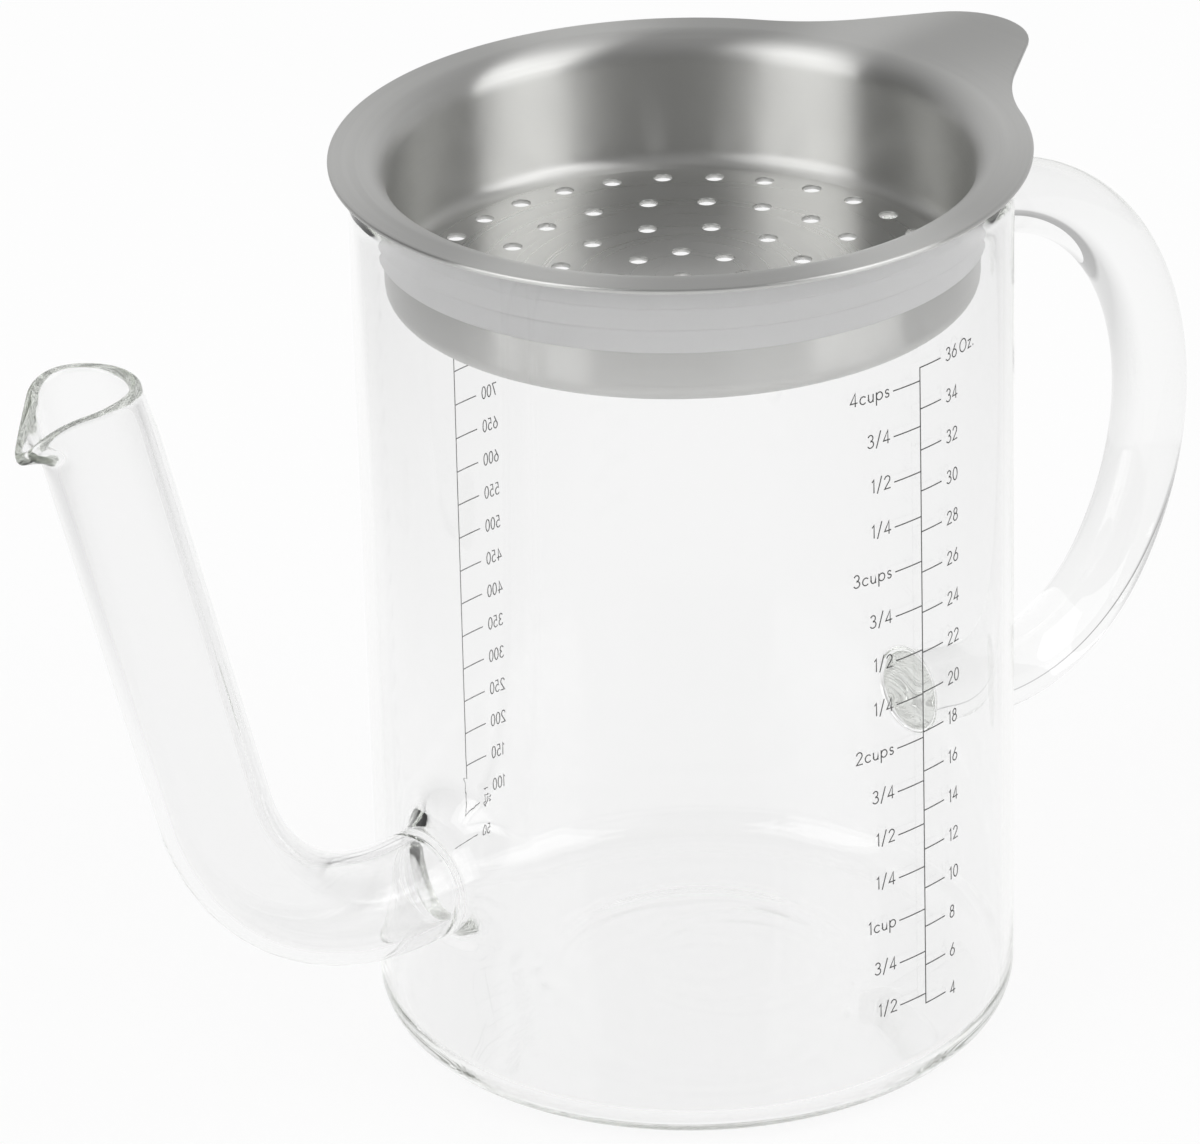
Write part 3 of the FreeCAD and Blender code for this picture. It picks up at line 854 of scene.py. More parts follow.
    def drop_point(self, share: float, centre: float, radius: float, nose: float) -> Point:
        """Return a point of a drop's outline: a round back, two flanks and a nose.

        Args:
            share: How far round it is, from the back at 0 by -Y to the back at 1.
            centre: Where the round back is centred.
            radius: Its radius.
            nose: The nose's radius.

        Returns:
            The point in plan.
        """
        tip = self.riser_x(self.mouth_top - self.lip_tip) - self.lip_reach + self.nose
        gap = centre - tip
        touch = math.acos((radius - nose) / gap)
        back = radius * (math.pi - touch)
        flank = math.sqrt(gap ** 2 - (radius - nose) ** 2)
        run = 2 * (back + flank + nose * touch) * min(share, 1 - share)
        if run < back:
            angle, reach, middle = run / radius, radius, centre
        elif run < back + flank:
            part = (run - back) / flank
            angle, reach = math.pi - touch, radius + (nose - radius) * part
            middle = centre + (tip - centre) * part
        else:
            angle, reach, middle = math.pi - touch + (run - back - flank) / nose, nose, tip
        side = -1 if share < 0.5 else 1
        return middle + reach * math.cos(angle), side * reach * math.sin(angle)

    def rim_line(self, shares: Iterable[float], radius: float, nose: float) -> list[Vector]:
        """Find where a surface of the mouth meets the brink.

        Args:
            shares: How far round the mouth each point is.
            radius: The radius of the surface's round back.
            nose: The radius of its nose.

        Returns:
            The points in order.
        """
        points = []
        for share in shares:
            level = self.mouth_top
            for _ in range(self.brink_rounds):
                x, y = self.drop_point(share, self.riser_x(level), radius, nose)
                level = self.brink(x)
            points.append(Vector((x, y, level)))
        return points

    def mouth_rings(self, angles: Iterable[float]) -> list[list[Vector]]:
        """Return the rings of the mouth: up outside, over the round rim and down inside.

        Args:
            angles: The tube's angles.

        Returns:
            The points of each ring.
        """
        shares = [((angle - math.pi / 2) / math.tau) % 1.0 for angle in angles]
        bore = self.spout_radius - self.spout_wall
        start, along = self.spout_route[-1]
        root = self.mouth_top - self.lip_root
        sides = []
        for radius, nose, low in ((self.spout_radius, self.nose, root),
                                  (bore, self.inner_nose, root + self.lip_thickness)):
            feet = circle(-1, start, along, radius, angles)
            knees = [foot + along * (low - foot.z) / along.z for foot in feet]
            sides.append((feet, knees, self.rim_line(shares, radius, nose)))
        crests = []
        for knee, high, low in zip(sides[0][1], sides[0][2], sides[1][2]):
            half = (high - low) / 2
            growth = high - knee
            crest = (growth - half * (growth.dot(half) / half.length_squared)).normalized()
            crest *= half.length
            crests.append(((high + low) / 2 - crest, half, crest))
        up, down = (
            [
                [self.pulled(foot, knee, middle + half * way, part / self.lip_rings)
                 for foot, knee, (middle, half, _) in zip(feet, knees, crests)]
                for part in range(1, self.lip_rings + 1)
            ]
            for way, (feet, knees, _) in zip((1, -1), sides)
        )
        turns = [math.pi * step / self.rim_steps for step in range(1, self.rim_steps)]
        over = [
            [middle + half * math.cos(turn) + crest * math.sin(turn)
             for middle, half, crest in crests]
            for turn in turns
        ]
        return up + over + down[::-1]

    def pulled(self, foot: Vector, knee: Vector, end: Vector, share: float) -> Vector:
        """Return a point of the curve that leaves foot towards knee and turns to end.

        Args:
            foot: Where the curve starts.
            knee: The point that pulls it.
            end: Where it ends.
            share: How far along the point is.

        Returns:
            The point.
        """
        weights = ((1 - share) ** 2, 2 * self.lip_pull * share * (1 - share), share ** 2)
        return (foot * weights[0] + knee * weights[1] + end * weights[2]) / sum(weights)

    def handle_route(self) -> list[tuple[Vector, Vector]]:
        """Return the rod's route: a wide upper bend, a tighter lower one and a short foot.

        Returns:
            The centres and directions of its rings, from the top weld down.
        """
        rise = math.radians(self.rod_top_tilt)
        tilt = math.radians(self.rod_foot_tilt)
        top = Vector((self.outer, 0, self.rod_top))
        foot = Vector((self.outer, 0, self.rod_foot))
        upper_bend = (self.rod_top - self.rod_foot) / 2 + self.upper_bulge
        upper = top + Vector((math.sin(rise), 0, -math.cos(rise))) * upper_bend
        inward = Vector((-math.cos(tilt), 0, math.sin(tilt)))
        above = Vector((math.sin(tilt), 0, math.cos(tilt)))
        raised = foot + above * self.lower_bend
        spread = raised - upper
        across = spread.dot(inward)
        gap = upper_bend - self.lower_bend
        lower = raised - inward * (across + math.sqrt(across ** 2 - spread.dot(spread) + gap ** 2))
        start = (top - upper).normalized()
        meeting = (lower - upper).normalized()
        places = []
        for centre, radius, first, last in (
            (upper, upper_bend, start, meeting), (lower, self.lower_bend, meeting, -above),
        ):
            sweep = first.angle(last)
            turns = math.ceil(radius * sweep / self.rod_step)
            for turn in range(1, turns + 1):
                angle = sweep * turn / turns
                arm = (first * math.sin(sweep - angle) + last * math.sin(angle)) / math.sin(sweep)
                spot = centre + arm * radius
                if (spot - top).length > self.weld_gap:
                    places.append((spot, Vector((arm.z, 0, -arm.x))))
        last, tangent = places[-1]
        length = (foot - last).length - self.weld_gap
        steps = max(math.ceil(length / self.foot_step), 1)
        return places + [(last + tangent * length * step / steps, tangent)
                         for step in range(1, steps + 1)]


@dataclass
class Strainer:
    """Builds the drawn steel basket with its flange, thumb tab and punched floor."""

    seat: float = 150.0
    sheet: float = 0.8
    flange: float = 55.48
    edge: float = 0.3
    roll: float = 4.0
    wall: float = 47.2
    depth: float = 22.8
    corner: float = 3.5
    wall_rows: Point = (5.0, 3.0)
    row_gap: float = 0.3
    tip_radius: float = 12.1
    tip_centre: float = 62.6
    half_angle: float = 33.5
    root_radius: float = 40.0
    hole: float = 1.5
    hole_turn: float = 2.0
    hole_burr: float = 0.12
    burr_round: float = 0.3
    hole_sides: int = 24
    rings: tuple[tuple[float, int], ...] = (
        (0.0, 1), (9.7, 8), (19.9, 12), (30.1, 20), (40.3, 30),
    )
    steps: int = 360
    corner_steps: int = 8
    roll_steps: int = 12
    edge_steps: int = 4
    sharp_degrees: float = 32.0
    floor_margin: float = 0.01
    floor_blend: float = 1.4
    flatness: float = 0.9999

    def build(self, material: bpy.types.Material, floor_material: bpy.types.Material
              ) -> bpy.types.Object:
        """Make the basket and let it stand for its solid.

        Args:
            material: The steel finish of flange and wall.
            floor_material: The finish of the punched floor.

        Returns:
            The finished piece.
        """
        bm = spin_profile(self.profile(), self.steps)
        self.draw_tab(bm)
        floor = self.seat + self.sheet - self.depth
        faces = [self.open_loop(bm, level) for level in (floor + self.sheet, floor)]
        for radius, count in self.rings:
            for at in range(count):
                angle = math.radians(self.hole_turn) + math.tau * at / count
                hole = self.punch(bm, radius * math.cos(angle), radius * math.sin(angle), floor)
                for face, edges in zip(faces, hole):
                    face += edges
        for edges in faces:
            bmesh.ops.triangle_fill(bm, use_beauty=True, use_dissolve=False, edges=edges)
        piece = place_piece(bm, "strainer_steel", material, Body.STRAINER, Slot.STEEL,
                            self.sharp_degrees)
        piece.data.materials.append(floor_material)
        self.finish_floor(piece.data, floor)
        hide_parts("strainer_basket")
        return piece

    def finish_floor(self, mesh: bpy.types.Mesh, floor: float) -> None:
        """Give the flat floor its own finish, and flat faces between the holes.

        Args:
            mesh: The basket's mesh, with the floor's finish as its second.
            floor: The height of the floor's underside.
        """
        level = (floor + self.sheet + self.floor_margin) * MM
        reach = (self.wall - self.corner + self.floor_blend) * MM
        for polygon in mesh.polygons:
            spot = polygon.center
            if spot.z < level and math.hypot(spot.x, spot.y) < reach:
                polygon.material_index = 1
                polygon.use_smooth = abs(polygon.normal.z) < self.flatness

    def profile(self) -> Line:
        """Return the section of the sheet.

        Returns:
            Points from the floor's top, up inside, round the flange and down to its underside.
        """
        face = self.seat + self.sheet
        floor = face - self.depth
        roll = (self.wall + self.roll, self.seat - self.roll)
        corner = (self.wall - self.corner, floor + self.corner)
        brim = self.flange - self.edge
        low, high = self.wall_rows
        inside = self.wall - self.sheet
        return [
            (corner[0], floor + self.sheet),
            *arc(corner, self.corner - self.sheet, -90, 0, self.corner_steps),
            (inside, corner[1] + low), (inside, roll[1] - high), (inside, roll[1]),
            *arc(roll, self.roll + self.sheet, 180, 90, self.roll_steps),
            (roll[0] + self.row_gap, face), (brim - self.row_gap, face), (brim, face),
            *arc((brim, face - self.edge), self.edge, 90, 0, self.edge_steps),
            *arc((brim, self.seat + self.edge), self.edge, 0, -90, self.edge_steps),
            (brim - self.row_gap, self.seat), (roll[0] + self.row_gap, self.seat),
            (roll[0], self.seat),
            *arc(roll, self.roll, 90, 180, self.roll_steps),
            (self.wall, roll[1] - high), (self.wall, corner[1] + low), (self.wall, corner[1]),
            *arc(corner, self.corner, 0, -90, self.corner_steps),
        ]

    def outline(self, angle: float) -> float:
        """Return how far the flange reaches: a round tip, straight flanks, round roots, rim.

        Args:
            angle: The direction from the axis, in radians.

        Returns:
            The distance from the axis.
        """
        half = math.radians(self.half_angle)
        out = Vector((math.sin(half), math.cos(half)))
        flank = self.tip_centre * out.x + self.tip_radius
        inner = flank + self.root_radius
        slide = math.sqrt((self.flange + self.root_radius) ** 2 - inner ** 2)
        root = out * inner + Vector((out.y, -out.x)) * slide
        tip_end = Vector((self.tip_centre, 0)) + out * self.tip_radius
        flank_end = root - out * self.root_radius
        ray = Vector((math.cos(angle), abs(math.sin(angle))))
        turn = math.atan2(ray.y, ray.x)
        if turn < math.atan2(tip_end.y, tip_end.x):
            across = self.tip_centre * ray.y
            return self.tip_centre * ray.x + math.sqrt(self.tip_radius ** 2 - across ** 2)
        if turn < math.atan2(flank_end.y, flank_end.x):
            return flank / ray.dot(out)
        if turn < math.atan2(root.y, root.x):
            near = root.dot(ray)
            return near - math.sqrt(near ** 2 - root.dot(root) + self.root_radius ** 2)
        return self.flange

    def draw_tab(self, bm: bmesh.types.BMesh) -> None:
        """Draw the flange's edge out to the tab's outline, keeping its rounded edges.

        Args:
            bm: The basket's bmesh.
        """
        margin = 0.1
        inner = self.wall + self.roll + self.row_gap
        for vert in bm.verts:
            radius = math.hypot(vert.co.x, vert.co.y)
            if radius > inner + margin and vert.co.z > self.seat - margin:
                angle = math.atan2(vert.co.y, vert.co.x)
                reach = radius + self.outline(angle) - self.flange
                vert.co.x = reach * math.cos(angle)
                vert.co.y = reach * math.sin(angle)

    def open_loop(self, bm: bmesh.types.BMesh, level: float) -> Edges:
        """Return the open edges of the bowl at a height.

        Args:
            bm: The basket's bmesh.
            level: The height.

        Returns:
            The edges.
        """
        return [
            edge for edge in bm.edges if len(edge.link_faces) == 1
            and all(abs(vert.co.z - level) < TOLERANCE for vert in edge.verts)
        ]

    def punch(self, bm: bmesh.types.BMesh, x: float, y: float, floor: float
              ) -> tuple[Edges, Edges]:
        """Build the wall of one punched hole, with a small round at each end.

        Args:
            bm: The basket's bmesh.
            x: The hole's centre.
            y: The hole's centre.
            floor: The height of the floor's underside.

        Returns:
            The hole's edges in the floor's top and in its underside.
        """
        top = floor + self.sheet
        burr = self.hole_burr
        ring = first = bmesh.ops.create_circle(
            bm, cap_ends=False, segments=self.hole_sides, radius=self.hole + burr,
            matrix=Matrix.Translation((x, y, top)),
        )["verts"]
        outward = [(vert.co - Vector((x, y, top))).normalized() for vert in ring]
        for radius, level in (
            (self.hole + burr * self.burr_round, top - burr * self.burr_round),
            (self.hole, top - burr), (self.hole, floor + burr), (self.hole + burr, floor),
        ):
            middle = Vector((x, y, level))
            ring = extend_ring(bm, ring, [middle + way * radius for way in outward])
        return ring_edges(bm, first), ring_edges(bm, ring)


@dataclass
class SealRing:
    """Builds the moulded silicone ring that sits under the flange's roll."""

    inside: float = 47.3
    seat: float = 150.0
    roll_centre: Point = (51.2, 146.0)
    roll: float = 3.9
    land: float = 50.55
    land_height: float = 4.4
    waist: float = 49.6
    waist_depth: float = 8.3
    skirt: float = 48.2
    skirt_depth: float = 12.7
    step: float = 0.75
    step_slope: float = 0.3
    soft: float = 0.25
    soft_steps: int = 4
    crest_gap: float = 0.375
    roll_steps: int = 10
    steps: int = 240

    def build(self, material: bpy.types.Material) -> bpy.types.Object:
        """Make the ring and let it stand for its solid.

        Args:
            material: The silicone finish.

        Returns:
            The finished piece.
        """
        bm = spin_profile(self.profile(), self.steps, closed=True)
        piece = place_piece(bm, "seal_silicone", material, Body.SEAL, Slot.SEAL)
        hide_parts("seal_ring")
        return piece

    def profile(self) -> Line:
        """Return the ring's section, with its corners a little rounded.

        Returns:
            Points from its inner corner below, up outside and back over the round.
        """
        low = self.seat - self.skirt_depth
        inward = self.land - self.roll_centre[0]
        crest = self.roll_centre[1] + math.sqrt(self.roll ** 2 - inward ** 2)
        corners = [Vector(corner) for corner in (
            (self.inside, self.roll_centre[1]), (self.inside, low), (self.skirt, low),
            (self.waist - self.step, self.seat - self.waist_depth - self.step_slope),
            (self.waist, self.seat - self.waist_depth),
            (self.land - self.step, self.seat - self.land_height - self.step_slope),
            (self.land, self.seat - self.land_height), (self.land, crest),
        )]
        points = []
        for before, corner, after in zip(corners, corners[1:], corners[2:]):
            back = before - corner
            ahead = after - corner
            cut = min(self.soft, back.length / 3, ahead.length / 3)
            first = corner + back.normalized() * cut
            last = corner + ahead.normalized() * cut
            for share in (step / self.soft_steps for step in range(self.soft_steps + 1)):
                points.append(tuple(first * (1 - share) ** 2 + corner * 2 * share * (1 - share)
                                    + last * share ** 2))
        start = math.degrees(math.atan2(crest - self.roll_centre[1], inward))
        points += [(self.land, crest - self.crest_gap), (self.land, crest)]
        return points + arc(self.roll_centre, self.roll, start, 180, self.roll_steps)


@dataclass(frozen=True)
class Pen:
    """Draws plain numerals and letters as strokes, in units of their height."""

    steps: int = 18
    fewest: int = 4

    def curve(self, x: float, y: float, across: float, up: float, start: float, end: float
              ) -> Line:
        """Return part of an ellipse.

        Args:
            x: Its centre.
            y: Its centre.
            across: Its radius across.
            up: Its radius upwards.
            start: The angle where the part starts, in degrees.
            end: The angle where it ends.

        Returns:
            The points in order.
        """
        count = max(round(self.steps * abs(end - start) / 360), self.fewest)
        angles = [math.radians(start + (end - start) * at / count) for at in range(count + 1)]
        return [(x + across * math.cos(angle), y + up * math.sin(angle)) for angle in angles]

    def glyph(self, sign: str) -> tuple[list[Line], float]:
        """Return a sign's strokes and its width.

        Args:
            sign: One numeral, letter or mark.

        Returns:
            Its strokes and how far the pen moves on after it.
        """
        curve = self.curve
        strokes: dict[str, tuple[list[Line], float]] = {
            "0": ([curve(0.29, 0.5, 0.27, 0.5, 0, 360)], 0.58),
            "1": ([[(0.05, 0.84), (0.2, 1.0), (0.2, 0.0)]], 0.3),
            "2": ([curve(0.29, 0.73, 0.25, 0.27, 165, -38) + [(0.03, 0.0), (0.56, 0.0)]], 0.6),
            "3": ([curve(0.27, 0.76, 0.22, 0.24, 150, -90)
                   + curve(0.27, 0.26, 0.27, 0.26, 90, -150)], 0.58),
            "4": ([[(0.44, 0.0), (0.44, 1.0), (0.02, 0.24), (0.6, 0.24)]], 0.64),
            "5": ([[(0.5, 1.0), (0.18, 1.0), (0.1, 0.56)]
                   + curve(0.25, 0.31, 0.28, 0.31, 112, -140)], 0.58),
            "6": ([[(0.42, 1.0), (0.07, 0.42)], curve(0.29, 0.3, 0.27, 0.3, 0, 360)], 0.6),
            "7": ([[(0.03, 1.0), (0.54, 1.0), (0.16, 0.0)]], 0.58),
            "8": ([curve(0.28, 0.77, 0.2, 0.23, 0, 360),
                   curve(0.28, 0.27, 0.26, 0.27, 0, 360)], 0.58),
            "9": ([[(0.16, 0.0), (0.51, 0.58)], curve(0.29, 0.7, 0.27, 0.3, 0, 360)], 0.6),
            "/": ([[(0.02, -0.12), (0.42, 1.12)]], 0.46),
            "c": ([curve(0.3, 0.3, 0.28, 0.3, 48, 312)], 0.54),
            "u": ([[(0.04, 0.6), (0.04, 0.24)] + curve(0.25, 0.24, 0.21, 0.24, 180, 360)
                   + [(0.46, 0.6), (0.46, 0.0)]], 0.52),
            "p": ([[(0.04, 0.6), (0.04, -0.36)], curve(0.32, 0.3, 0.28, 0.3, 0, 360)], 0.64),
            "s": ([curve(0.2, 0.45, 0.15, 0.15, 30, 270)
                   + curve(0.2, 0.15, 0.17, 0.15, 90, -150)], 0.42),
            "O": ([curve(0.46, 0.5, 0.44, 0.5, 0, 360)], 0.96),
            "z": ([[(0.03, 0.6), (0.43, 0.6), (0.02, 0.0), (0.45, 0.0)]], 0.5),
            ".": ([[(0.06, 0.0), (0.06, 0.05)]], 0.14),
            " ": ([], 0.0),
        }
        return strokes[sign]


@dataclass
class Graduations:
    """Builds one printed scale, wrapped on the jug's wall."""

    name: str
    facing: float
    shift: float
    squeeze: float
    lean: float
    jug_outer: float = 52.5
    clearance: float = 0.04
    thickness: float = 0.03
    line: float = 0.2
    overrun: float = 0.8
    sharpest: float = 0.5
    height: float = 2.15
    spacing: float = 0.2
    tick_steps: int = 5
    pen: Pen = field(default_factory=Pen)
    strokes: list[Line] = field(default_factory=list)

    def tick(self, level: float, length: float) -> None:
        """Add a mark that starts on the scale's line."""
        shares = [step / self.tick_steps for step in range(self.tick_steps + 1)]
        self.strokes.append([(length * share, level) for share in shares])

    def rule(self, low: float, high: float) -> None:
        """Add the scale's upright line."""
        self.strokes.append([(0.0, low), (0.0, high)])

    def label(self, words: str, start: float, level: float, from_right: bool = False) -> None:
        """Add words centred on a height.

        Args:
            words: What they say.
            start: Where they start across the wall, or end if from_right is set.
            level: The height of their middle.
            from_right: Whether start is their right end.
        """
        across = self.height * self.squeeze
        left = start
        if from_right:
            width = sum(self.pen.glyph(sign)[1] for sign in words)
            left -= (width + self.spacing * (len(words) - 1)) * across
        for sign in words:
            glyph, width = self.pen.glyph(sign)
            self.strokes += [
                [(left + x * across, level + (y - 0.5) * self.height) for x, y in stroke]
                for stroke in glyph
            ]
            left += (width + self.spacing) * across

    def build(self, material: bpy.types.Material) -> bpy.types.Object:
        """Make every stroke a thin raised line of enamel on the glass.

        Args:
            material: The enamel finish.

        Returns:
            The finished piece.
        """
        bm = bmesh.new()
        for stroke in self.strokes:
            self.lay(bm, stroke)
        return place_piece(bm, self.name, material, Body.ROOT, Slot.PRINT)

    def on_glass(self, spot: Vector, lift: float) -> Vector:
        """Wrap a place of the flat scale on the wall.

        Args:
            spot: Its distance across from the scale's line, and its height.
            lift: How far it stands off the print's underside.

        Returns:
            The point.
        """
        place = spot.x + self.shift - self.lean * spot.y
        angle = math.radians(self.facing) + place / self.jug_outer
        radius = self.jug_outer + self.clearance + lift
        return Vector((radius * math.cos(angle), radius * math.sin(angle), spot.y))

    def sections(self, stroke: Line, closed: bool) -> list[list[Vector]]:
        """Return the four corners of a stroke's section at each of its points.

        Args:
            stroke: The points of its middle line.
            closed: Whether the last point joins the first.

        Returns:
            The corners on the wall, mitred where the stroke turns.
        """
        spots = [Vector(spot) for spot in stroke]
        half = self.line / 2
        sections = []
        for at, spot in enumerate(spots):
            is_end = at == len(spots) - 1 and not closed
            first = (spot - spots[at - 1]).normalized() if at or closed else None
            last = None if is_end else (spots[(at + 1) % len(spots)] - spot).normalized()
            course = ((first or last) + (last or first)).normalized()
            side = Vector((-course.y, course.x)) * half
            side /= max(course.dot(first or last), self.sharpest)
            if first is None or last is None:
                spot = spot + course * half * self.overrun * (-1 if first is None else 1)
            sections.append([
                self.on_glass(spot + side * way, lift)
                for way, lift in ((1, 0.0), (-1, 0.0), (-1, self.thickness), (1, self.thickness))
            ])
        return sections

    def lay(self, bm: bmesh.types.BMesh, stroke: Line) -> None:
        """Lay one stroke as a ribbon: its first section, extruded from point to point.

        Args:
            bm: The scale's bmesh, which the ribbon is added to.
            stroke: The points of its middle line.
        """
        closed = (Vector(stroke[0]) - Vector(stroke[-1])).length < self.line / 4
        sections = self.sections(stroke[:-1] if closed else stroke, closed)
        ribbon = bmesh.new()
        start = bmesh.ops.create_circle(ribbon, cap_ends=False, segments=4, radius=1.0)["verts"]
        for vert, corner in zip(start, sections[0]):
            vert.co = corner
        ring = start
        for corners in sections[1:]:
            ring = extend_ring(ribbon, ring, corners)
        ends = ring_edges(ribbon, start, ring)
        if closed:
            bmesh.ops.bridge_loops(ribbon, edges=ends)
        else:
            bmesh.ops.holes_fill(ribbon, edges=ends, sides=4)
        mesh = bpy.data.meshes.new("stroke")
        ribbon.to_mesh(mesh)
        ribbon.free()
        bm.from_mesh(mesh)
        bpy.data.meshes.remove(mesh)


@dataclass
class Scales:
    """The two printed scales: ounces and cups in front, millilitres at the back."""

    ounce_low: float = 17.15
    ounce_gap: float = 3.505
    ounces: range = range(4, 37, 2)
    ounce_tick: float = 4.7
    ounce_label: float = 6.1
    cup_low: float = 18.95
    cup_gap: float = 30.9
    cup_quarters: range = range(2, 17)
    cup_tick: float = -5.5
    cup_label: float = -6.3
    cup_rise: float = 0.4
    millilitre_low: float = 6.4
    millilitre_gap: float = 0.1217
    millilitres: range = range(50, 901, 50)
    millilitre_line: int = 100
    millilitre_tick: float = -5.1
    millilitre_label: float = -6.5

    def front(self) -> Graduations:
        """Return the scale of ounces to the right and cups to the left of its line.

        Returns:
            The scale, ready to build.
        """
        scale = Graduations("scale_ounces_cups", -90, shift=0.1, squeeze=0.95, lean=0.006)
        levels = {ounce: self.ounce_low + (ounce - self.ounces[0]) * self.ounce_gap
                  for ounce in self.ounces}
        for ounce, level in levels.items():
            scale.tick(level, self.ounce_tick)
            words = f"{ounce} Oz." if ounce == self.ounces[-1] else f"{ounce}"
            scale.label(words, self.ounce_label, level)
        for quarter in self.cup_quarters:
            level = self.cup_low + (quarter - self.cup_quarters[0]) / 4 * self.cup_gap
            scale.tick(level, self.cup_tick)
            whole, part = divmod(quarter, 4)
            words = ("1cup" if whole == 1 else f"{whole}cups", "1/4", "1/2", "3/4")[part]
            scale.label(words, self.cup_label, level + self.cup_rise, from_right=True)
        scale.rule(self.ounce_low, levels[self.ounces[-1]])
        return scale

    def back(self) -> Graduations:
        """Return the scale of millilitres, to be read from the other side.

        Returns:
            The scale, ready to build.
        """
        scale = Graduations("scale_millilitres", 90, shift=4.75, squeeze=0.7, lean=0.008)
        levels = {volume: self.millilitre_low + volume * self.millilitre_gap
                  for volume in self.millilitres}
        for volume, level in levels.items():
            scale.tick(level, self.millilitre_tick)
            scale.label(f"{volume}", self.millilitre_label, level, from_right=True)
        scale.rule(levels[self.millilitre_line], levels[self.millilitres[-1]])
        return scale


@dataclass
class Studio:
    """The plain pale floor, the soft lights and the camera.

    The camera sees floor and world white. Mirrors and glass see a room whose brightness changes
    round the object: 0.5 is the camera's side, less is to the picture's left, and more to its
    right.
    """

    floor_size: float = 6.0
    floor_cells: int = 8
    floor_drop: float = 0.0001
    floor_colour: str = "#e6e6e6"
    floor_roughness: float = 0.5
    floor_glow: float = 0.9
    floor_reach: Stops = ((0.0, 1.0), (0.8, 1.0), (1.0, 0.55))
    floor_sides: Stops = ((0.2, 0.6), (0.34, 1.0), (0.62, 1.0), (0.8, 0.7))
    world_level: float = 0.75
    camera_azimuth: float = -133.3
    camera_side: float = 0.5
    mirrored_walls: Stops = (
        (0.0, 0.67), (0.08, 0.62), (0.14, 0.42), (0.2, 0.08), (0.27, 0.06), (0.34, 0.3),
        (0.4, 0.13), (0.5, 0.11), (0.6, 0.13), (0.66, 0.3), (0.77, 0.42), (0.87, 0.55),
        (0.93, 0.64), (1.0, 0.67),
    )
    seen_walls: Stops = (
        (0.0, 1.0), (0.1, 1.0), (0.16, 0.45), (0.24, 0.4), (0.28, 1.0), (0.34, 0.9),
        (0.4, 0.42), (0.53, 0.42), (0.57, 1.0), (0.66, 1.0), (0.7, 0.8), (0.76, 0.5),
        (0.84, 0.5), (0.9, 1.0), (1.0, 1.0),
    )
    white_walls: Stops = ((0.0, 1.0), (1.0, 1.0))
    mirrored_ceiling: float = 0.4
    seen_ceiling: float = 1.0
    ceiling_start: Stops = ((0.35, 0.0), (0.8, 1.0))
    softboxes: tuple[tuple[str, float], ...] = (("softbox_left", -188.0), ("softbox_right", -68.0))
    softbox_rise: float = 30.0
    softbox_distance: float = 1.5
    softbox_size: Point = (1.1, 1.9)
    softbox_power: float = 10.0
    softbox_target: float = 0.09
    camera_mm: tuple[float, float, float] = (-713.35, -735.88, 577.91)
    right: tuple[float, float, float] = (0.7192, -0.6943, -0.0244)
    up: tuple[float, float, float] = (0.3209, 0.3008, 0.8981)
    back: tuple[float, float, float] = (-0.6162, -0.6538, 0.4392)
    lens: float = 211.7
    sensor: float = 36.0
    clip: Point = (0.05, 30.0)
    bounces: int = 160

    def build(self) -> None:
        """Set up everything round the object."""
        self.lay_floor()
        self.set_world()
        for name, azimuth in self.softboxes:
            self.hang_softbox(name, azimuth)
        self.set_camera()

    @property
    def to_camera(self) -> float:
        """Return the turn that brings coordinates' X axis to the camera."""
        return math.radians(-self.camera_azimuth)

    def lay_floor(self) -> None:
        """Lay the pale floor, which shows white, keeps a soft shadow and is grey far away."""
        bm = bmesh.new()
        bmesh.ops.create_grid(bm, x_segments=self.floor_cells, y_segments=self.floor_cells,
                              size=self.floor_size / 2)
        bmesh.ops.translate(bm, verts=bm.verts, vec=(0, 0, -self.floor_drop))
        mesh = bpy.data.meshes.new("floor")
        bm.to_mesh(mesh)
        bm.free()
        # Matt paint gives the eye a soft shadow under the glass and no mirror image.
        material, tree, place = start_material("studio_floor_painted")
        reach = add_node(tree, "ShaderNodeVectorMath", {"operation": "LENGTH"}, _0=place)
        far = add_node(tree, "ShaderNodeValToRGB", {"stops": self.floor_reach},
                       Fac=reach.outputs["Value"])
        turned = add_node(tree, "ShaderNodeVectorRotate", {"rotation_type": "Z_AXIS"},
                          Vector=place, Angle=self.to_camera)
        parts = add_node(tree, "ShaderNodeSeparateXYZ", Vector=turned.outputs["Vector"])
        lateral = add_node(tree, "ShaderNodeMath", {"operation": "ADD"}, _0=parts.outputs["Y"],
                           _1=self.camera_side)
        sides = add_node(tree, "ShaderNodeValToRGB", {"stops": self.floor_sides},
                         Fac=lateral.outputs[0])
        level = add_node(tree, "ShaderNodeMath", {"operation": "MULTIPLY"},
                         _0=far.outputs["Color"], _1=sides.outputs["Color"])
        path = add_node(tree, "ShaderNodeLightPath")
        seen = path.outputs["Is Camera Ray"]
        bright = add_node(tree, "ShaderNodeMath", {"operation": "MAXIMUM"}, _0=level.outputs[0],
                          _1=seen)
        for name in ("Is Transmission Ray", "Is Glossy Ray"):
            seen = add_node(tree, "ShaderNodeMath", {"operation": "MAXIMUM"}, _0=seen,
                            _1=path.outputs[name]).outputs[0]
        share = add_node(tree, "ShaderNodeMath", {"operation": "MULTIPLY"}, _0=seen,
                         _1=self.floor_glow)
        paint = add_node(tree, "ShaderNodeBsdfDiffuse", Color=linear(self.floor_colour),
                         Roughness=self.floor_roughness)
        glow = add_node(tree, "ShaderNodeEmission", Color=WHITE, Strength=bright.outputs[0])
        mix = add_node(tree, "ShaderNodeMixShader", _0=share.outputs[0], _1=paint.outputs[0],
                       _2=glow.outputs[0])
        add_node(tree, "ShaderNodeOutputMaterial", Surface=mix.outputs[0])
        mesh.materials.append(material)
        floor = bpy.data.objects.new("floor", mesh)
        bpy.context.scene.collection.objects.link(floor)

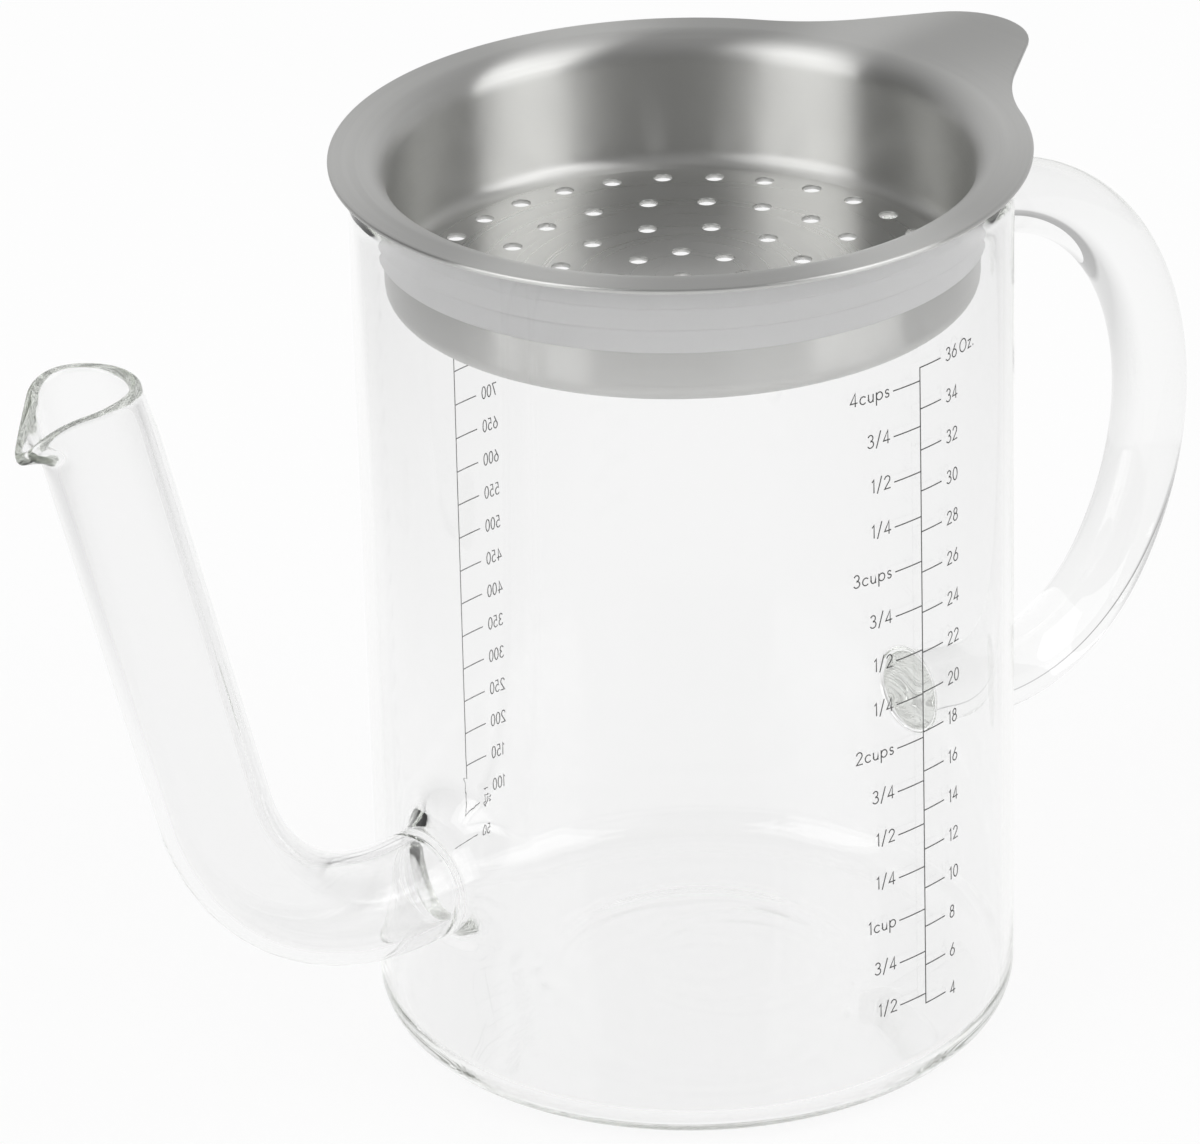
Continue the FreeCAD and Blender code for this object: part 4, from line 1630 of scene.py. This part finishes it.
    def set_world(self) -> None:
        """Light evenly from all round, show white to the camera and a room to mirrors."""
        world = bpy.data.worlds.new("studio")
        bpy.context.scene.world = world
        world.use_nodes = True
        tree = world.node_tree
        tree.nodes.clear()
        place = add_node(tree, "ShaderNodeTexCoord").outputs["Generated"]
        turned = add_node(tree, "ShaderNodeVectorRotate", {"rotation_type": "Z_AXIS"},
                          Vector=place, Angle=self.to_camera)
        around = add_node(tree, "ShaderNodeTexGradient", {"gradient_type": "RADIAL"},
                          Vector=turned.outputs["Vector"])
        height = add_node(tree, "ShaderNodeSeparateXYZ", Vector=place)
        above = add_node(tree, "ShaderNodeValToRGB", {"stops": self.ceiling_start},
                         Fac=height.outputs["Z"])
        path = add_node(tree, "ShaderNodeLightPath")
        shown = add_node(tree, "ShaderNodeBackground", Color=WHITE, Strength=self.world_level)
        for ray, walls, ceiling in (
            ("Is Glossy Ray", self.mirrored_walls, self.mirrored_ceiling),
            ("Is Transmission Ray", self.seen_walls, self.seen_ceiling),
            ("Is Camera Ray", self.white_walls, 1.0),
        ):
            wall = add_node(tree, "ShaderNodeValToRGB", {"stops": walls},
                            Fac=around.outputs["Fac"])
            level = add_node(tree, "ShaderNodeMix", {"data_type": "FLOAT"},
                             _0=above.outputs["Color"], _2=wall.outputs["Color"], _3=ceiling)
            room = add_node(tree, "ShaderNodeBackground", Color=WHITE, Strength=level.outputs[0])
            shown = add_node(tree, "ShaderNodeMixShader", _0=path.outputs[ray],
                             _1=shown.outputs[0], _2=room.outputs[0])
        add_node(tree, "ShaderNodeOutputWorld", Surface=shown.outputs[0])

    def hang_softbox(self, name: str, azimuth: float) -> None:
        """Hang a large soft light that faces the object.

        Args:
            name: The light's name.
            azimuth: Its direction from the object, in degrees.
        """
        light = bpy.data.lights.new(name, "AREA")
        light.shape = "RECTANGLE"
        light.size, light.size_y = self.softbox_size
        light.energy = self.softbox_power
        lamp = bpy.data.objects.new(name, light)
        around = math.radians(azimuth)
        rise = math.radians(self.softbox_rise)
        spot = Vector((math.cos(around) * math.cos(rise), math.sin(around) * math.cos(rise),
                       math.sin(rise)))
        place = Vector((0, 0, self.softbox_target)) + spot * self.softbox_distance
        lamp.matrix_world = (
            Matrix.Translation(place) @ spot.to_track_quat("Z", "Y").to_matrix().to_4x4()
        )
        bpy.context.scene.collection.objects.link(lamp)

    def set_camera(self) -> None:
        """Place the camera, choose the plain view transform and let light run inside the glass."""
        scene = bpy.context.scene
        scene.cycles.max_bounces = self.bounces
        scene.cycles.glossy_bounces = self.bounces
        scene.cycles.transmission_bounces = self.bounces
        camera = bpy.data.cameras.new("camera")
        camera.lens = self.lens
        camera.sensor_width = self.sensor
        camera.clip_start, camera.clip_end = self.clip
        holder = bpy.data.objects.new("camera", camera)
        turn = Matrix((self.right, self.up, self.back)).transposed().to_4x4()
        holder.matrix_world = Matrix.Translation(Vector(self.camera_mm) * MM) @ turn
        scene.collection.objects.link(holder)
        scene.camera = holder
        scene.view_settings.view_transform = "Standard"


def main() -> None:
    """Build the studio and every piece."""
    logging.basicConfig(level=logging.INFO, format="%(name)s: %(message)s")
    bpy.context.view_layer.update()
    Studio().build()
    Vessel().build(GlassFinish().build())
    floor_steel = SteelFinish("stainless_steel_turned", roughness=0.3, line_mm=0.5, lean=0.35)
    Strainer().build(SteelFinish().build(), floor_steel.build())
    SealRing().build(SiliconeFinish().build())
    enamel = EnamelFinish().build()
    scales = Scales()
    for scale in (scales.front(), scales.back()):
        scale.build(enamel)


if __name__ == "__main__":
    main()
